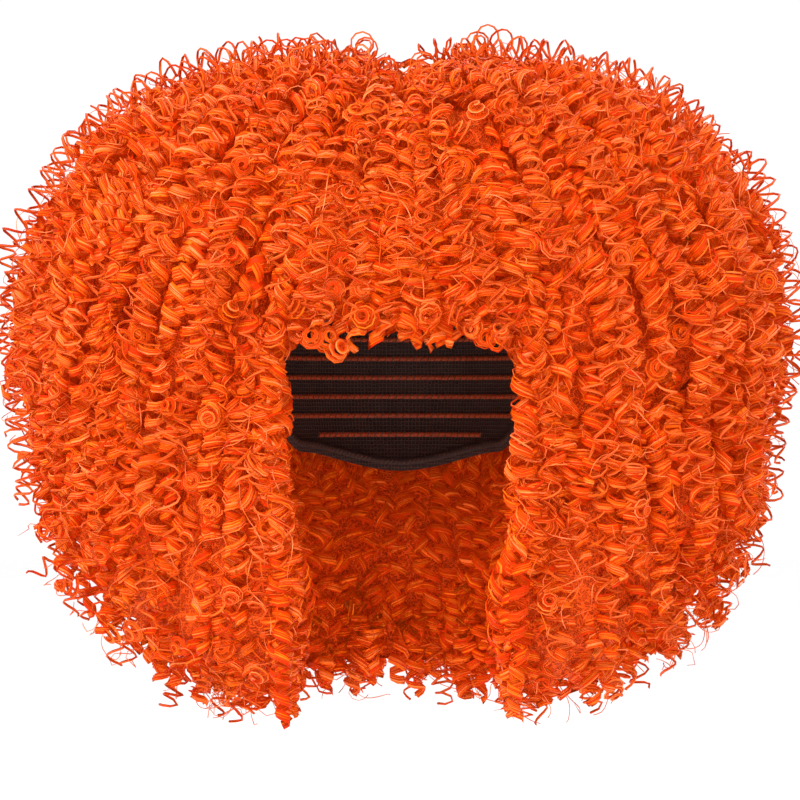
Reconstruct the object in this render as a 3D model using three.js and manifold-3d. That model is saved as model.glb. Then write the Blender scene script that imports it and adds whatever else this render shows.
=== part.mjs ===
// An afro curly wig with a fringe: a stretch cap, and four sections of ringlet hair that
// sit on it round the hollow for the head, the neck and the face. Millimetres, +Z up. The
// face looks along -Y and the wearer's left is +X. The origin is the inside top of the cap,
// where the crown of the head touches it.
import * as THREE from "three";
import { mergeVertices } from "three/addons/utils/BufferGeometryUtils.js";
import Module from "manifold-3d";

const wasm = await Module();
wasm.setup();

// Head that the cap fits
const headWidth = 152;
const headLength = 192;
const crownHeight = 106; // from the top of the head down to its widest level
const domeFullness = 2.25; // exponent of the head's upright outline, 2 for an ellipse
const napeTaper = 0.14; // share that the head draws in by, from its widest level to the nape

// Cap, with a hem folded outwards along its edge
const capWall = 2;
const hemFold = 1;
const hemHeight = 9;
const seamGap = 0.3; // between pieces that touch
const capDepth = 162; // from the crown down to the edge at the nape
// How far down the edge runs, as shares of the depth. azimuth is in degrees from the face,
// the same on both sides: hairline, temple, ear tab, behind the ear and nape.
const capEdge = [
  { azimuth: 0, depth: 0.385 },
  { azimuth: 30, depth: 0.43 },
  { azimuth: 52, depth: 0.56 },
  { azimuth: 78, depth: 0.72 },
  { azimuth: 104, depth: 0.76 },
  { azimuth: 135, depth: 0.93 },
  { azimuth: 180, depth: 1.0 },
];

// Outer form of the hair
const hairHalfWidth = 214;
const hairFront = 128; // from the crown forwards
const hairBack = 202; // from the crown backwards
const hairTop = 86; // above the crown
const hairBottom = 300; // below the crown
const sectionFullness = 2.2; // exponent of the level outline, 2 for an ellipse
// Level sections from the top down: drop is the share of the height, and side, front and
// back are shares of the half width and of the reach forwards and backwards.
const hairSections = [
  { drop: 0.012, side: 0.16, front: 0.2, back: 0.15 },
  { drop: 0.022, side: 0.4, front: 0.44, back: 0.36 },
  { drop: 0.062, side: 0.63, front: 0.66, back: 0.58 },
  { drop: 0.115, side: 0.77, front: 0.8, back: 0.74 },
  { drop: 0.2, side: 0.89, front: 0.93, back: 0.87 },
  { drop: 0.3, side: 0.965, front: 1.0, back: 0.95 },
  { drop: 0.44, side: 1.0, front: 0.96, back: 1.0 },
  { drop: 0.57, side: 0.96, front: 0.87, back: 1.0 },
  { drop: 0.7, side: 0.9, front: 0.8, back: 0.96 },
  { drop: 0.81, side: 0.81, front: 0.74, back: 0.88 },
  { drop: 0.91, side: 0.69, front: 0.66, back: 0.76 },
  { drop: 1.0, side: 0.44, front: 0.5, back: 0.5 },
];
const partingDepth = 14; // dip along the middle of the top
const partingWidth = 26;
const partingReach = 0.3; // share of the height over which the dip runs out

// Hollow below the cap, and the opening in front of the face
const neckWidth = 112;
const neckLength = 116;
const neckBack = 8; // the neck's centre lies this far behind the crown
const neckDrop = 222; // from the crown down to where the head has drawn in to the neck
const faceWidth = 124; // between the hair at the temples
const jawWidth = 106; // between the hair beside the neck
const fringeDrop = 84; // from the crown down to the lower edge of the fringe's backing
const templeDrop = 150; // the level down to which the opening keeps its full width
const jawDrop = 225; // the level where it has drawn in to the jaw width
const faceCorner = 34; // radius of the opening's upper corners

// Where the sections of hair meet, in degrees from the face
const fringeSpan = 34;
const backSpan = 112;
const fringeHem = 16; // the fringe's section ends this far below its backing's edge

// Ringlet locks that carry the outline
const backingInset = 18; // the backing lies this far inside the outer form
const lockRadius = 17; // of the lock's own section
const lockCoil = 8; // how far the section's centre winds round the lock's line
const lockPitch = 66; // rise of one turn
const lockSides = 5;
const lockStep = 20.5; // length between sections
const lockPoints = 7; // along the lock's line
const lockTwist = 2; // turn from one lock to the next, in radians
const lockStagger = 0.03; // every second lock starts this share further down
const rootSink = 9; // how deep a root is buried below the rest of its lock
const rootSpan = 0.25; // share of a lock's length that its root takes
const rootFullness = 0.8; // share of the full section at the root
const tipLift = 18; // how far a tip stands out from the lock's line
const tipSpan = 0.32; // share of a lock's length that its tip takes
const tipFullness = 0.32; // share of the full section at the tip

// Rows of locks. from and to are shares of the way down the outer form, first and last are
// the degrees that the end locks keep from their section's seams, and size scales the lock.
const sideLocks = [
  { from: 0.03, to: 0.55, first: 10, last: 10, count: 4, size: 1.0 },
  { from: 0.5, to: 1.0, first: 19, last: 11, count: 4, size: 1.0 },
];
const backLocks = [
  { from: 0.03, to: 0.55, first: 10, last: 10, count: 7, size: 1.0 },
  { from: 0.5, to: 1.0, first: 11, last: 11, count: 8, size: 1.0 },
];
const fringeLocks = [{ from: 0.03, to: 0.58, first: 12, last: 12, count: 4, size: 0.8 }];
const faceLock = { from: 0.4, to: 0.97, size: 0.8 }; // hangs along the opening's edge

// Short locks that end along the fringe's lower edge
const bangRadius = 8;
const bangCoil = 3.5;
const bangPitch = 30;
const bangRise = 40; // from a bang's root down to the backing's edge
const bangMargin = 10; // from the opening's side to the outer bangs' lines
const bangStand = 6; // clearance between a bang and the cap's line carried down
// How far each tip hangs below the edge, as shares of the bangs' rise.
const bangTips = [{ hang: 0.2 }, { hang: 0.08 }, { hang: 0.22 }, { hang: 0.1 }, { hang: 0.18 }];

const ringSegments = 24;
const backingRows = 8;
const cutReach = 1.4; // bodies that only cut run past the hair by this factor
const hairColour = 0xe04f12;
const capColour = 0x2e1711;

const degrees = Math.PI / 180;
const fullTurn = 2 * Math.PI;

// A smooth line through a table's rows, read at a share of the way down it.
function tableCurve(rows, columns) {
  const points = rows.map((row) => new THREE.Vector3(...columns.map((name) => row[name])));
  return new THREE.CatmullRomCurve3(points, false, "catmullrom");
}

const sectionReaches = tableCurve(hairSections, ["side", "front", "back"]);
const sectionDrops = tableCurve(hairSections, ["drop", "drop", "drop"]);

// The distance from the axis to a rounded outline with these reaches, at an azimuth in
// radians from the face.
function outlineRadius(azimuth, side, front, back, fullness) {
  const forwards = Math.cos(azimuth) > 0 ? front : back;
  const across = Math.abs(Math.sin(azimuth)) / side;
  const along = Math.abs(Math.cos(azimuth)) / forwards;
  return (across ** fullness + along ** fullness) ** (-1 / fullness);
}

// The azimuth at which the front of such an outline lies at a distance x from its middle.
function azimuthAt(x, side, front, fullness) {
  const share = THREE.MathUtils.clamp(Math.abs(x) / side, 0, 1);
  const forwards = front * (1 - share ** fullness) ** (1 / fullness);
  return Math.atan2(x, forwards);
}

function around(azimuth, radius, z) {
  return new THREE.Vector3(radius * Math.sin(azimuth), -radius * Math.cos(azimuth), z);
}

function ring(pointAt) {
  return Array.from({ length: ringSegments }, (_, i) => pointAt((i / ringSegments) * fullTurn));
}

// The outer form's reaches at a share of the way down it, moved inwards by inset.
function hairReaches(share, inset) {
  const reaches = sectionReaches.getPoint(share);
  return {
    side: reaches.x * (hairHalfWidth - inset),
    front: reaches.y * (hairFront - inset),
    back: reaches.z * (hairBack - inset),
  };
}

// A point on the outer form, moved inwards by inset. share runs from the crown, 0, to the
// lower edge, 1, and the top has the parting's dip.
function hairPoint(azimuth, share, inset) {
  const { side, front, back } = hairReaches(share, inset);
  const drop = sectionDrops.getPoint(share).x;
  const top = hairTop - inset;
  const bottom = hairBottom - inset;
  const radius = outlineRadius(azimuth, side, front, back, sectionFullness);
  const point = around(azimuth, radius, top - drop * (top + bottom));
  const fade = Math.max(0, 1 - drop / partingReach);
  point.z -= partingDepth * fade * Math.exp(-((point.x / partingWidth) ** 2));
  return point;
}

// A closed mesh through rings of points, each with its start at the same azimuth. An end
// ring of one point closes to a tip, and any other end ring gets a flat face.
function loft(rings) {
  const positions = [];
  const triangles = [];
  const starts = [];
  for (const points of rings) {
    starts.push(positions.length / 3);
    points.forEach((point) => positions.push(point.x, point.y, point.z));
  }
  const columns = Math.max(...rings.map((points) => points.length));
  const index = (row, column) => starts[row] + (rings[row].length > 1 ? column % columns : 0);
  const last = rings.length - 1;
  for (let row = 0; row < last; row += 1) {
    for (let column = 0; column < columns; column += 1) {
      const [a, b] = [index(row, column), index(row, column + 1)];
      const [c, d] = [index(row + 1, column + 1), index(row + 1, column)];
      if (a !== b) triangles.push(a, c, b);
      if (c !== d) triangles.push(a, d, c);
    }
  }
  for (let column = 1; column < columns - 1; column += 1) {
    if (rings[0].length > 1) triangles.push(index(0, 0), index(0, column), index(0, column + 1));
    if (rings[last].length > 1) {
      triangles.push(index(last, 0), index(last, column + 1), index(last, column));
    }
  }
  const geometry = new THREE.BufferGeometry();
  geometry.setAttribute("position", new THREE.Float32BufferAttribute(positions, 3));
  geometry.setIndex(triangles);
  return geometry;
}

function manifoldOf(positions, triangles) {
  return new wasm.Manifold(
    new wasm.Mesh({
      numProp: 3,
      vertProperties: new Float32Array(positions),
      triVerts: new Uint32Array(triangles),
    }),
  );
}

// The solid that a closed mesh bounds, whichever way round its faces run.
function solidOf(geometry) {
  const bare = geometry.clone();
  bare.deleteAttribute("normal");
  bare.deleteAttribute("uv");
  const merged = mergeVertices(bare, 1e-4);
  const positions = merged.attributes.position.array;
  const triangles = Array.from(merged.index.array);
  const solid = manifoldOf(positions, triangles);
  return solid.volume() > 0 ? solid : manifoldOf(positions, triangles.reverse());
}

function geometryOf(solid) {
  const mesh = solid.getMesh();
  const geometry = new THREE.BufferGeometry();
  geometry.setAttribute("position", new THREE.BufferAttribute(mesh.vertProperties, 3));
  geometry.setIndex(new THREE.BufferAttribute(mesh.triVerts, 1));
  geometry.computeVertexNormals();
  return geometry;
}

function joined(solids) {
  return solids.reduce((whole, solid) => whole.add(solid));
}

// The same solid without the pockets that are shut in between locks and backing.
function withoutPockets(solid) {
  return joined(solid.decompose().filter((shell) => shell.volume() > 0));
}

// How far below the crown the cap's edge is at an azimuth.
function edgeDepth(azimuth) {
  const turned = THREE.MathUtils.euclideanModulo(azimuth + Math.PI, fullTurn) - Math.PI;
  const angle = Math.abs(turned) / degrees;
  const next = capEdge.findIndex((row) => row.azimuth >= Math.min(angle, 180));
  const high = capEdge[Math.max(1, next)];
  const low = capEdge[Math.max(1, next) - 1];
  const share = THREE.MathUtils.smoothstep(angle, low.azimuth, high.azimuth);
  return capDepth * THREE.MathUtils.lerp(low.depth, high.depth, share);
}

// A point on the head's surface grown by offset, at a depth below the crown.
function headPoint(azimuth, depth, offset) {
  const height = crownHeight + offset;
  const level = Math.min(depth + offset, height) / height;
  const below = Math.max(0, depth - crownHeight) / (capDepth - crownHeight);
  const swell = (1 - (1 - level) ** domeFullness) ** (1 / domeFullness) - napeTaper * below ** 2;
  const side = headWidth / 2 + offset;
  const along = headLength / 2 + offset;
  return around(azimuth, swell * outlineRadius(azimuth, side, along, along, 2), -depth);
}

// Shares of the way from the crown to the hem, closer together near the crown.
const capRows = [0.05, 0.18, 0.4, 0.7, 1];

// Rings of the head's surface from the crown to the cap's edge, grown by offset, and by
// hemOffset along the hem, which is made longer by gap at both its ends.
function domeRings(offset, hemOffset, gap) {
  const hemTop = (azimuth) => edgeDepth(azimuth) - hemHeight - gap;
  const hemRing = (depthAt) => ring((azimuth) => headPoint(azimuth, depthAt(azimuth), hemOffset));
  return [
    [new THREE.Vector3(0, 0, offset)],
    ...capRows.map((share) => ring((azimuth) => headPoint(azimuth, share * hemTop(azimuth), offset))),
    hemRing(hemTop),
    hemRing((azimuth) => edgeDepth(azimuth) - hemHeight / 2),
    hemRing((azimuth) => edgeDepth(azimuth) + gap),
  ];
}

function makeCap() {
  const outside = domeRings(capWall, capWall + hemFold, 0);
  const inside = domeRings(0, 0, 0);
  inside.splice(capRows.length + 1, 1);
  return loft([...outside, ...inside.reverse()]);
}

// The space that the hair leaves free: the cap, then the head drawing in to the neck, down
// past the lowest lock.
function makeHeadHollow() {
  const neck = (depth) =>
    ring((azimuth) => {
      const radius = outlineRadius(azimuth, neckWidth / 2, neckLength / 2, neckLength / 2, 2);
      return around(azimuth, radius, -depth).add(new THREE.Vector3(0, neckBack, 0));
    });
  const rings = domeRings(capWall + seamGap, capWall + hemFold + seamGap, seamGap);
  return loft([...rings, neck(neckDrop), neck(neckDrop + hairBottom * cutReach)]);
}

// The opening in front of the face, cut from the head's hollow out past the fringe.
function makeFaceOpening() {
  const top = -fringeDrop;
  const bottom = -hairBottom * cutReach;
  const [wide, narrow] = [faceWidth / 2, jawWidth / 2];
  const bend = -(jawDrop + templeDrop) / 2;
  const outline = new THREE.Shape();
  outline.moveTo(-narrow, bottom);
  outline.lineTo(narrow, bottom);
  outline.lineTo(narrow, -jawDrop);
  outline.bezierCurveTo(narrow, bend, wide, bend, wide, -templeDrop);
  outline.lineTo(wide, top - faceCorner);
  outline.absarc(wide - faceCorner, top - faceCorner, faceCorner, 0, Math.PI / 2, false);
  outline.absarc(faceCorner - wide, top - faceCorner, faceCorner, Math.PI / 2, Math.PI, false);
  outline.lineTo(-wide, -templeDrop);
  outline.bezierCurveTo(-wide, bend, -narrow, bend, -narrow, -jawDrop);
  const settings = { depth: hairFront * cutReach, bevelEnabled: false, curveSegments: 4 };
  return new THREE.ExtrudeGeometry(outline, settings).rotateX(Math.PI / 2);
}

function makeBacking() {
  const crown = new THREE.Vector3(0, 0, hairPoint(0, 0, backingInset).z);
  const rows = Array.from({ length: backingRows }, (_, row) =>
    ring((azimuth) => hairPoint(azimuth, row / (backingRows - 1), backingInset)),
  );
  return loft([[crown], ...rows]);
}

// A corkscrew lock along a line of points: round sections whose centres wind round the
// line, drawn in a little at the root and well in at the tip.
function makeLock(line, radius, coil, pitch, phase) {
  const curve = new THREE.CatmullRomCurve3(line);
  const length = curve.getLength();
  const steps = Math.max(4, Math.round(length / ((lockStep * pitch) / lockPitch)));
  const { normals, binormals } = curve.computeFrenetFrames(steps, false);
  const offset = (step, distance, angle) =>
    normals[step]
      .clone()
      .multiplyScalar(distance * Math.cos(angle))
      .addScaledVector(binormals[step], distance * Math.sin(angle));
  const rings = [];
  for (let step = 0; step <= steps; step += 1) {
    const share = step / steps;
    const root = THREE.MathUtils.lerp(rootFullness, 1, Math.min(1, share / rootSpan));
    const tip = THREE.MathUtils.lerp(tipFullness, 1, Math.min(1, (1 - share) / tipSpan));
    const fullness = root * tip;
    const wind = phase + (fullTurn * share * length) / pitch;
    const centre = curve.getPointAt(share).add(offset(step, coil * fullness, wind));
    const sides = Array.from({ length: lockSides }, (_, i) =>
      centre.clone().add(offset(step, radius * fullness, (i / lockSides) * fullTurn)),
    );
    rings.push(sides);
  }
  return solidOf(loft(rings));
}

// A lock's line along the outer form: its root is sunk, and its tip stands out.
function lockLine(size, pointAt) {
  return Array.from({ length: lockPoints }, (_, i) => {
    const share = i / (lockPoints - 1);
    const sink = rootSink * Math.max(0, 1 - share / rootSpan);
    const lift = tipLift * Math.max(0, 1 - (1 - share) / tipSpan) ** 2;
    return pointAt(share, lockRadius * size + sink - lift);
  });
}

// Locks spread over a section between two azimuths, in degrees, on the given side.
function rowOfLocks({ from, to, first, last, count, size }, start, end, side) {
  return Array.from({ length: count }, (_, i) => {
    const turn = THREE.MathUtils.lerp(start + first, end - last, i / (count - 1));
    const azimuth = side * turn * degrees;
    const top = from + lockStagger * (i % 2);
    const line = lockLine(size, (share, inset) =>
      hairPoint(azimuth, THREE.MathUtils.lerp(top, to, share), inset),
    );
    return makeLock(line, lockRadius * size, lockCoil * size, lockPitch * size, i * lockTwist);
  });
}

// The long lock beside the face, its line one lock's width out from the opening's edge.
function makeFaceLock(side) {
  const { from, to, size } = faceLock;
  const clear = (lockRadius + lockCoil) * size;
  const line = lockLine(size, (share, inset) => {
    const down = THREE.MathUtils.lerp(from, to, share);
    const reaches = hairReaches(down, inset);
    const x = side * (THREE.MathUtils.lerp(faceWidth, jawWidth, share) / 2 + clear);
    return hairPoint(azimuthAt(x, reaches.side, reaches.front, sectionFullness), down, inset);
  });
  return makeLock(line, lockRadius * size, lockCoil * size, lockPitch * size, side * lockTwist);
}

// The bangs: each leaves the fringe's backing and ends below its edge, on the forehead.
function makeBangs() {
  const offset = capWall + hemFold + seamGap + bangRadius + bangCoil + bangStand;
  return bangTips.map(({ hang }, i) => {
    const x = (faceWidth - 2 * bangMargin) * (i / (bangTips.length - 1) - 0.5);
    const azimuth = azimuthAt(x, headWidth / 2 + offset, headLength / 2 + offset, 2);
    const line = [-1, -0.5, 0, hang].map((down) =>
      headPoint(azimuth, fringeDrop + down * bangRise, offset),
    );
    return makeLock(line, bangRadius, bangCoil, bangPitch, i * lockTwist);
  });
}

// A wedge of space between two azimuths, in degrees, from one level to another, its cut
// faces moved apart by half a seam gap each.
function makeWedge(from, to, top, bottom) {
  const middle = ((from + to) / 2) * degrees;
  const half = ((to - from) / 2) * degrees;
  const shift = around(middle, seamGap / 2 / Math.sin(half), 0);
  const rim = [-1, -0.5, 0, 0.5, 1].map((turn) => around(middle + turn * half, hairHalfWidth * 3, 0));
  const corners = [new THREE.Vector3(), ...rim].map((corner) => corner.add(shift));
  const outline = new THREE.Shape(corners.map(({ x, y }) => new THREE.Vector2(x, y)));
  const geometry = new THREE.ExtrudeGeometry(outline, { depth: top - bottom, bevelEnabled: false });
  return solidOf(geometry.translate(0, 0, bottom));
}

const above = hairTop * cutReach;
const below = -hairBottom * cutReach;
const fringeFloor = -fringeDrop - fringeHem;
const hollow = solidOf(makeHeadHollow());
const backing = solidOf(makeBacking()).subtract(hollow).subtract(solidOf(makeFaceOpening()));

// One section of hair: its share of the backing with its locks fused on.
function makeSection(region, locks) {
  return withoutPockets(backing.add(joined(locks).subtract(hollow)).intersect(region));
}

function makeFringe() {
  const region = makeWedge(-fringeSpan, fringeSpan, above, fringeFloor);
  const locks = fringeLocks.flatMap((row) => rowOfLocks(row, -fringeSpan, fringeSpan, 1));
  return makeSection(region, [...locks, ...makeBangs()]);
}

// A side, with the stretch of hair that lies below the fringe.
function makeSide(side) {
  const beside = makeWedge(fringeSpan, backSpan, above, below);
  const under = makeWedge(0, (fringeSpan + backSpan) / 2, fringeFloor - seamGap, below);
  const left = beside.add(under);
  const region = side > 0 ? left : left.mirror([1, 0, 0]);
  const locks = sideLocks.flatMap((row) => rowOfLocks(row, fringeSpan, backSpan, side));
  return makeSection(region, [...locks, makeFaceLock(side)]);
}

function makeBack() {
  const farSpan = 360 - backSpan;
  const region = makeWedge(backSpan, farSpan, above, below);
  return makeSection(region, backLocks.flatMap((row) => rowOfLocks(row, backSpan, farSpan, 1)));
}

function hairMaterial() {
  return new THREE.MeshStandardMaterial({ color: hairColour, roughness: 0.55, metalness: 0 });
}

function capMaterial() {
  return new THREE.MeshStandardMaterial({ color: capColour, roughness: 0.85, metalness: 0 });
}

const wig = new THREE.Group();

function place(name, geometry, material) {
  const mesh = new THREE.Mesh(geometry, material);
  mesh.name = name;
  wig.add(mesh);
}

place("cap", geometryOf(solidOf(makeCap())), capMaterial());
place("fringe", geometryOf(makeFringe()), hairMaterial());
place("left_hair", geometryOf(makeSide(1)), hairMaterial());
place("right_hair", geometryOf(makeSide(-1)), hairMaterial());
place("back_hair", geometryOf(makeBack()), hairMaterial());

export default wig;
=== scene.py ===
"""An orange afro curly wig with a fringe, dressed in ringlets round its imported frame.

The frame holds a net cap and four sections of hair as plain solids. This script stands
in for the hair with an inner mass, several layers of corkscrew ringlets and loose fibres,
and for the cap with a knitted net shell. Lengths are in metres. The face looks along -Y.
"""

import logging
import math
from dataclasses import dataclass, field
from enum import Enum

import bmesh
import bpy
import numpy as np
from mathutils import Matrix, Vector


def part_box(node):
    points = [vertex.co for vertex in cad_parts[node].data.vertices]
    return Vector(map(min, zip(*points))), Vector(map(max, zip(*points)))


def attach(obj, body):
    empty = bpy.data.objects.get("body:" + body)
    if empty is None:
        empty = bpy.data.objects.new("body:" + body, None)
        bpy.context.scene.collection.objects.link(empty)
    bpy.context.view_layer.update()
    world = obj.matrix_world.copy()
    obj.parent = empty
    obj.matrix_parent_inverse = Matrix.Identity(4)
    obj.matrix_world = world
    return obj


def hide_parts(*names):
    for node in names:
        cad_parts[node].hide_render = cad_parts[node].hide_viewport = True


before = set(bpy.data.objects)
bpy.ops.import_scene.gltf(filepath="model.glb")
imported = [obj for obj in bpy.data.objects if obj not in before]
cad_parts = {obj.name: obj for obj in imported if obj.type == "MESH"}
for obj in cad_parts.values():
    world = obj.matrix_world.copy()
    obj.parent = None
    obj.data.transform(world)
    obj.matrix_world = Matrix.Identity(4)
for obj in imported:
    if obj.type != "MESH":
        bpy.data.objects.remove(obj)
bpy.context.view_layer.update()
BODY = "root"
MM = 0.001
SEED = 41

logging.basicConfig(level=logging.INFO, format="%(name)s: %(message)s")
log = logging.getLogger("wig")


class Section(Enum):
    """The sections of hair, each with its node's name in the frame."""

    FRINGE = "fringe"
    LEFT = "left_hair"
    RIGHT = "right_hair"
    BACK = "back_hair"


def smoothstep(low: float, high: float, value: np.ndarray) -> np.ndarray:
    """Rises smoothly from 0 at low to 1 at high.

    Args:
        low: The value at which the step starts.
        high: The value at which it ends.
        value: Where to read it.

    Returns:
        The step's height at each value.
    """
    share = np.clip((value - low) / (high - low), 0.0, 1.0)
    return share * share * (3.0 - 2.0 * share)


@dataclass(frozen=True)
class FormRow:
    """One level of the hair's outer form, as shares of the frame's reach.

    Attributes:
        drop: How far down the form the level lies.
        side: Reach to the left and the right.
        front: Reach forwards.
        back: Reach backwards.
    """

    drop: float
    side: float
    front: float
    back: float


FORM_ROWS = (
    FormRow(0.000, 0.02, 0.02, 0.02),
    FormRow(0.002, 0.20, 0.24, 0.18),
    FormRow(0.018, 0.42, 0.47, 0.38),
    FormRow(0.055, 0.63, 0.68, 0.58),
    FormRow(0.110, 0.77, 0.82, 0.74),
    FormRow(0.200, 0.89, 0.94, 0.87),
    FormRow(0.300, 0.965, 1.00, 0.95),
    FormRow(0.440, 1.00, 0.96, 1.00),
    FormRow(0.570, 0.96, 0.88, 1.00),
    FormRow(0.700, 0.93, 0.82, 0.96),
    FormRow(0.800, 0.84, 0.76, 0.87),
    FormRow(0.885, 0.71, 0.68, 0.75),
    FormRow(0.955, 0.52, 0.54, 0.57),
)


@dataclass
class HairForm:
    """The smooth outer form of the hair, seen from a centre inside the head.

    Attributes:
        half_width: Reach to the left and the right, at the widest level.
        front: Reach forwards from the crown's axis.
        back: Reach backwards from it.
        top: Height of the form above the origin.
        bottom: Height of its lower edge, below the origin.
        centre_height: Height of the centre that directions are counted from.
        fullness: Exponent of a level outline, 2 for an ellipse.
        parting_depth: Dip along the middle of the top.
        parting_width: Half width of that dip.
    """

    half_width: float
    front: float
    back: float
    top: float
    bottom: float
    centre_height: float = -110 * MM
    fullness: float = 2.2
    parting_depth: float = 12 * MM
    parting_width: float = 24 * MM
    reach_grid: np.ndarray = field(init=False, repr=False)

    AZIMUTHS = 96
    POLARS = 121

    def __post_init__(self) -> None:
        """Works out the reach from the centre for a grid of directions."""
        azimuths = np.linspace(-math.pi, math.pi, self.AZIMUTHS + 1)
        polars = np.linspace(0.0, math.pi, self.POLARS)
        grid = np.empty((len(azimuths), len(polars)))
        for row, azimuth in enumerate(azimuths):
            radius, height = self.profile(azimuth)
            polar = np.arctan2(radius, height - self.centre_height)
            reach = np.hypot(radius, height - self.centre_height)
            order = np.argsort(polar)
            grid[row] = np.interp(polars, polar[order], reach[order])
            floor = (self.centre_height - height[-1]) / np.maximum(-np.cos(polars), 1e-6)
            below = polars > polar.max()
            grid[row, below] = floor[below]
        self.reach_grid = grid

    @classmethod
    def of_frame(cls) -> "HairForm":
        """Takes the form's reaches from the frame's hair nodes."""
        boxes = [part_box(section.value) for section in Section]
        low = [min(box[0][axis] for box in boxes) for axis in range(3)]
        high = [max(box[1][axis] for box in boxes) for axis in range(3)]
        return cls(
            half_width=(high[0] - low[0]) / 2,
            front=-low[1],
            back=high[1],
            top=high[2] - 6 * MM,
            bottom=low[2],
        )

    def profile(self, azimuth: float) -> tuple[np.ndarray, np.ndarray]:
        """Gives the form's upright outline at an azimuth.

        Args:
            azimuth: Radians from the face towards the wearer's left.

        Returns:
            Distances from the crown's axis and heights, from the top down.
        """
        keys = np.linspace(0.0, 1.0, len(FORM_ROWS))
        fine = np.linspace(0.0, 1.0, 160)
        drop, side, front, back = (
            np.interp(fine, keys, [getattr(row, name) for row in FORM_ROWS])
            for name in ("drop", "side", "front", "back")
        )
        along = front * self.front if math.cos(azimuth) > 0 else back * self.back
        across = abs(math.sin(azimuth)) / (side * self.half_width)
        forth = abs(math.cos(azimuth)) / along
        radius = (across**self.fullness + forth**self.fullness) ** (-1 / self.fullness)
        height = self.top + drop * (self.bottom - self.top)
        dip = np.exp(-((radius * math.sin(azimuth) / self.parting_width) ** 2))
        height = height - self.parting_depth * dip * np.maximum(0.0, 1.0 - drop / 0.3)
        return radius, height

    def reach(self, points: np.ndarray) -> np.ndarray:
        """Reads the form's reach in the direction of each point.

        Args:
            points: Positions, one row each.

        Returns:
            The distance from the centre to the form in each point's direction.
        """
        azimuth = np.arctan2(points[:, 0], -points[:, 1])
        polar = np.arctan2(np.hypot(points[:, 0], points[:, 1]), points[:, 2] - self.centre_height)
        column = (azimuth + math.pi) / (2 * math.pi) * self.AZIMUTHS
        row = polar / math.pi * (self.POLARS - 1)
        a = np.clip(column.astype(int), 0, self.AZIMUTHS - 1)
        p = np.clip(row.astype(int), 0, self.POLARS - 2)
        u, v = column - a, row - p
        grid = self.reach_grid
        near = grid[a, p] * (1 - v) + grid[a, p + 1] * v
        far = grid[a + 1, p] * (1 - v) + grid[a + 1, p + 1] * v
        return near * (1 - u) + far * u

    def depth(self, points: np.ndarray) -> np.ndarray:
        """Gives how far inside the form each point lies, along its own direction."""
        offset = points - np.array([0.0, 0.0, self.centre_height])
        return self.reach(points) - np.linalg.norm(offset, axis=1)

    def normal(self, points: np.ndarray) -> np.ndarray:
        """Gives the outward direction of the form near each point."""
        step = 5 * MM
        slope = np.stack(
            [self.depth(points - shift) - self.depth(points + shift) for shift in np.eye(3) * step],
            axis=1,
        )
        return slope / np.linalg.norm(slope, axis=1, keepdims=True)

    def sample(self, count: int, rng: np.random.Generator) -> np.ndarray:
        """Picks points spread over the form by its area.

        Args:
            count: How many points to pick.
            rng: The random source.

        Returns:
            The points, one row each.
        """
        azimuths = np.linspace(-math.pi, math.pi, self.AZIMUTHS + 1)
        polars = np.linspace(0.0, math.pi, self.POLARS)
        a, p = np.meshgrid(azimuths, polars, indexing="ij")
        flat = self.reach_grid * np.sin(p)
        grid = np.stack(
            [flat * np.sin(a), -flat * np.cos(a), self.centre_height + self.reach_grid * np.cos(p)],
            axis=2,
        )
        along = grid[1:, :-1] - grid[:-1, :-1]
        down = grid[:-1, 1:] - grid[:-1, :-1]
        area = np.linalg.norm(np.cross(along, down), axis=2)
        cells = rng.choice(area.size, size=count, p=(area / area.sum()).ravel())
        i, j = np.unravel_index(cells, area.shape)
        u, v = rng.random((2, count, 1))
        return grid[i, j] + u * along[i, j] + v * down[i, j]


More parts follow.
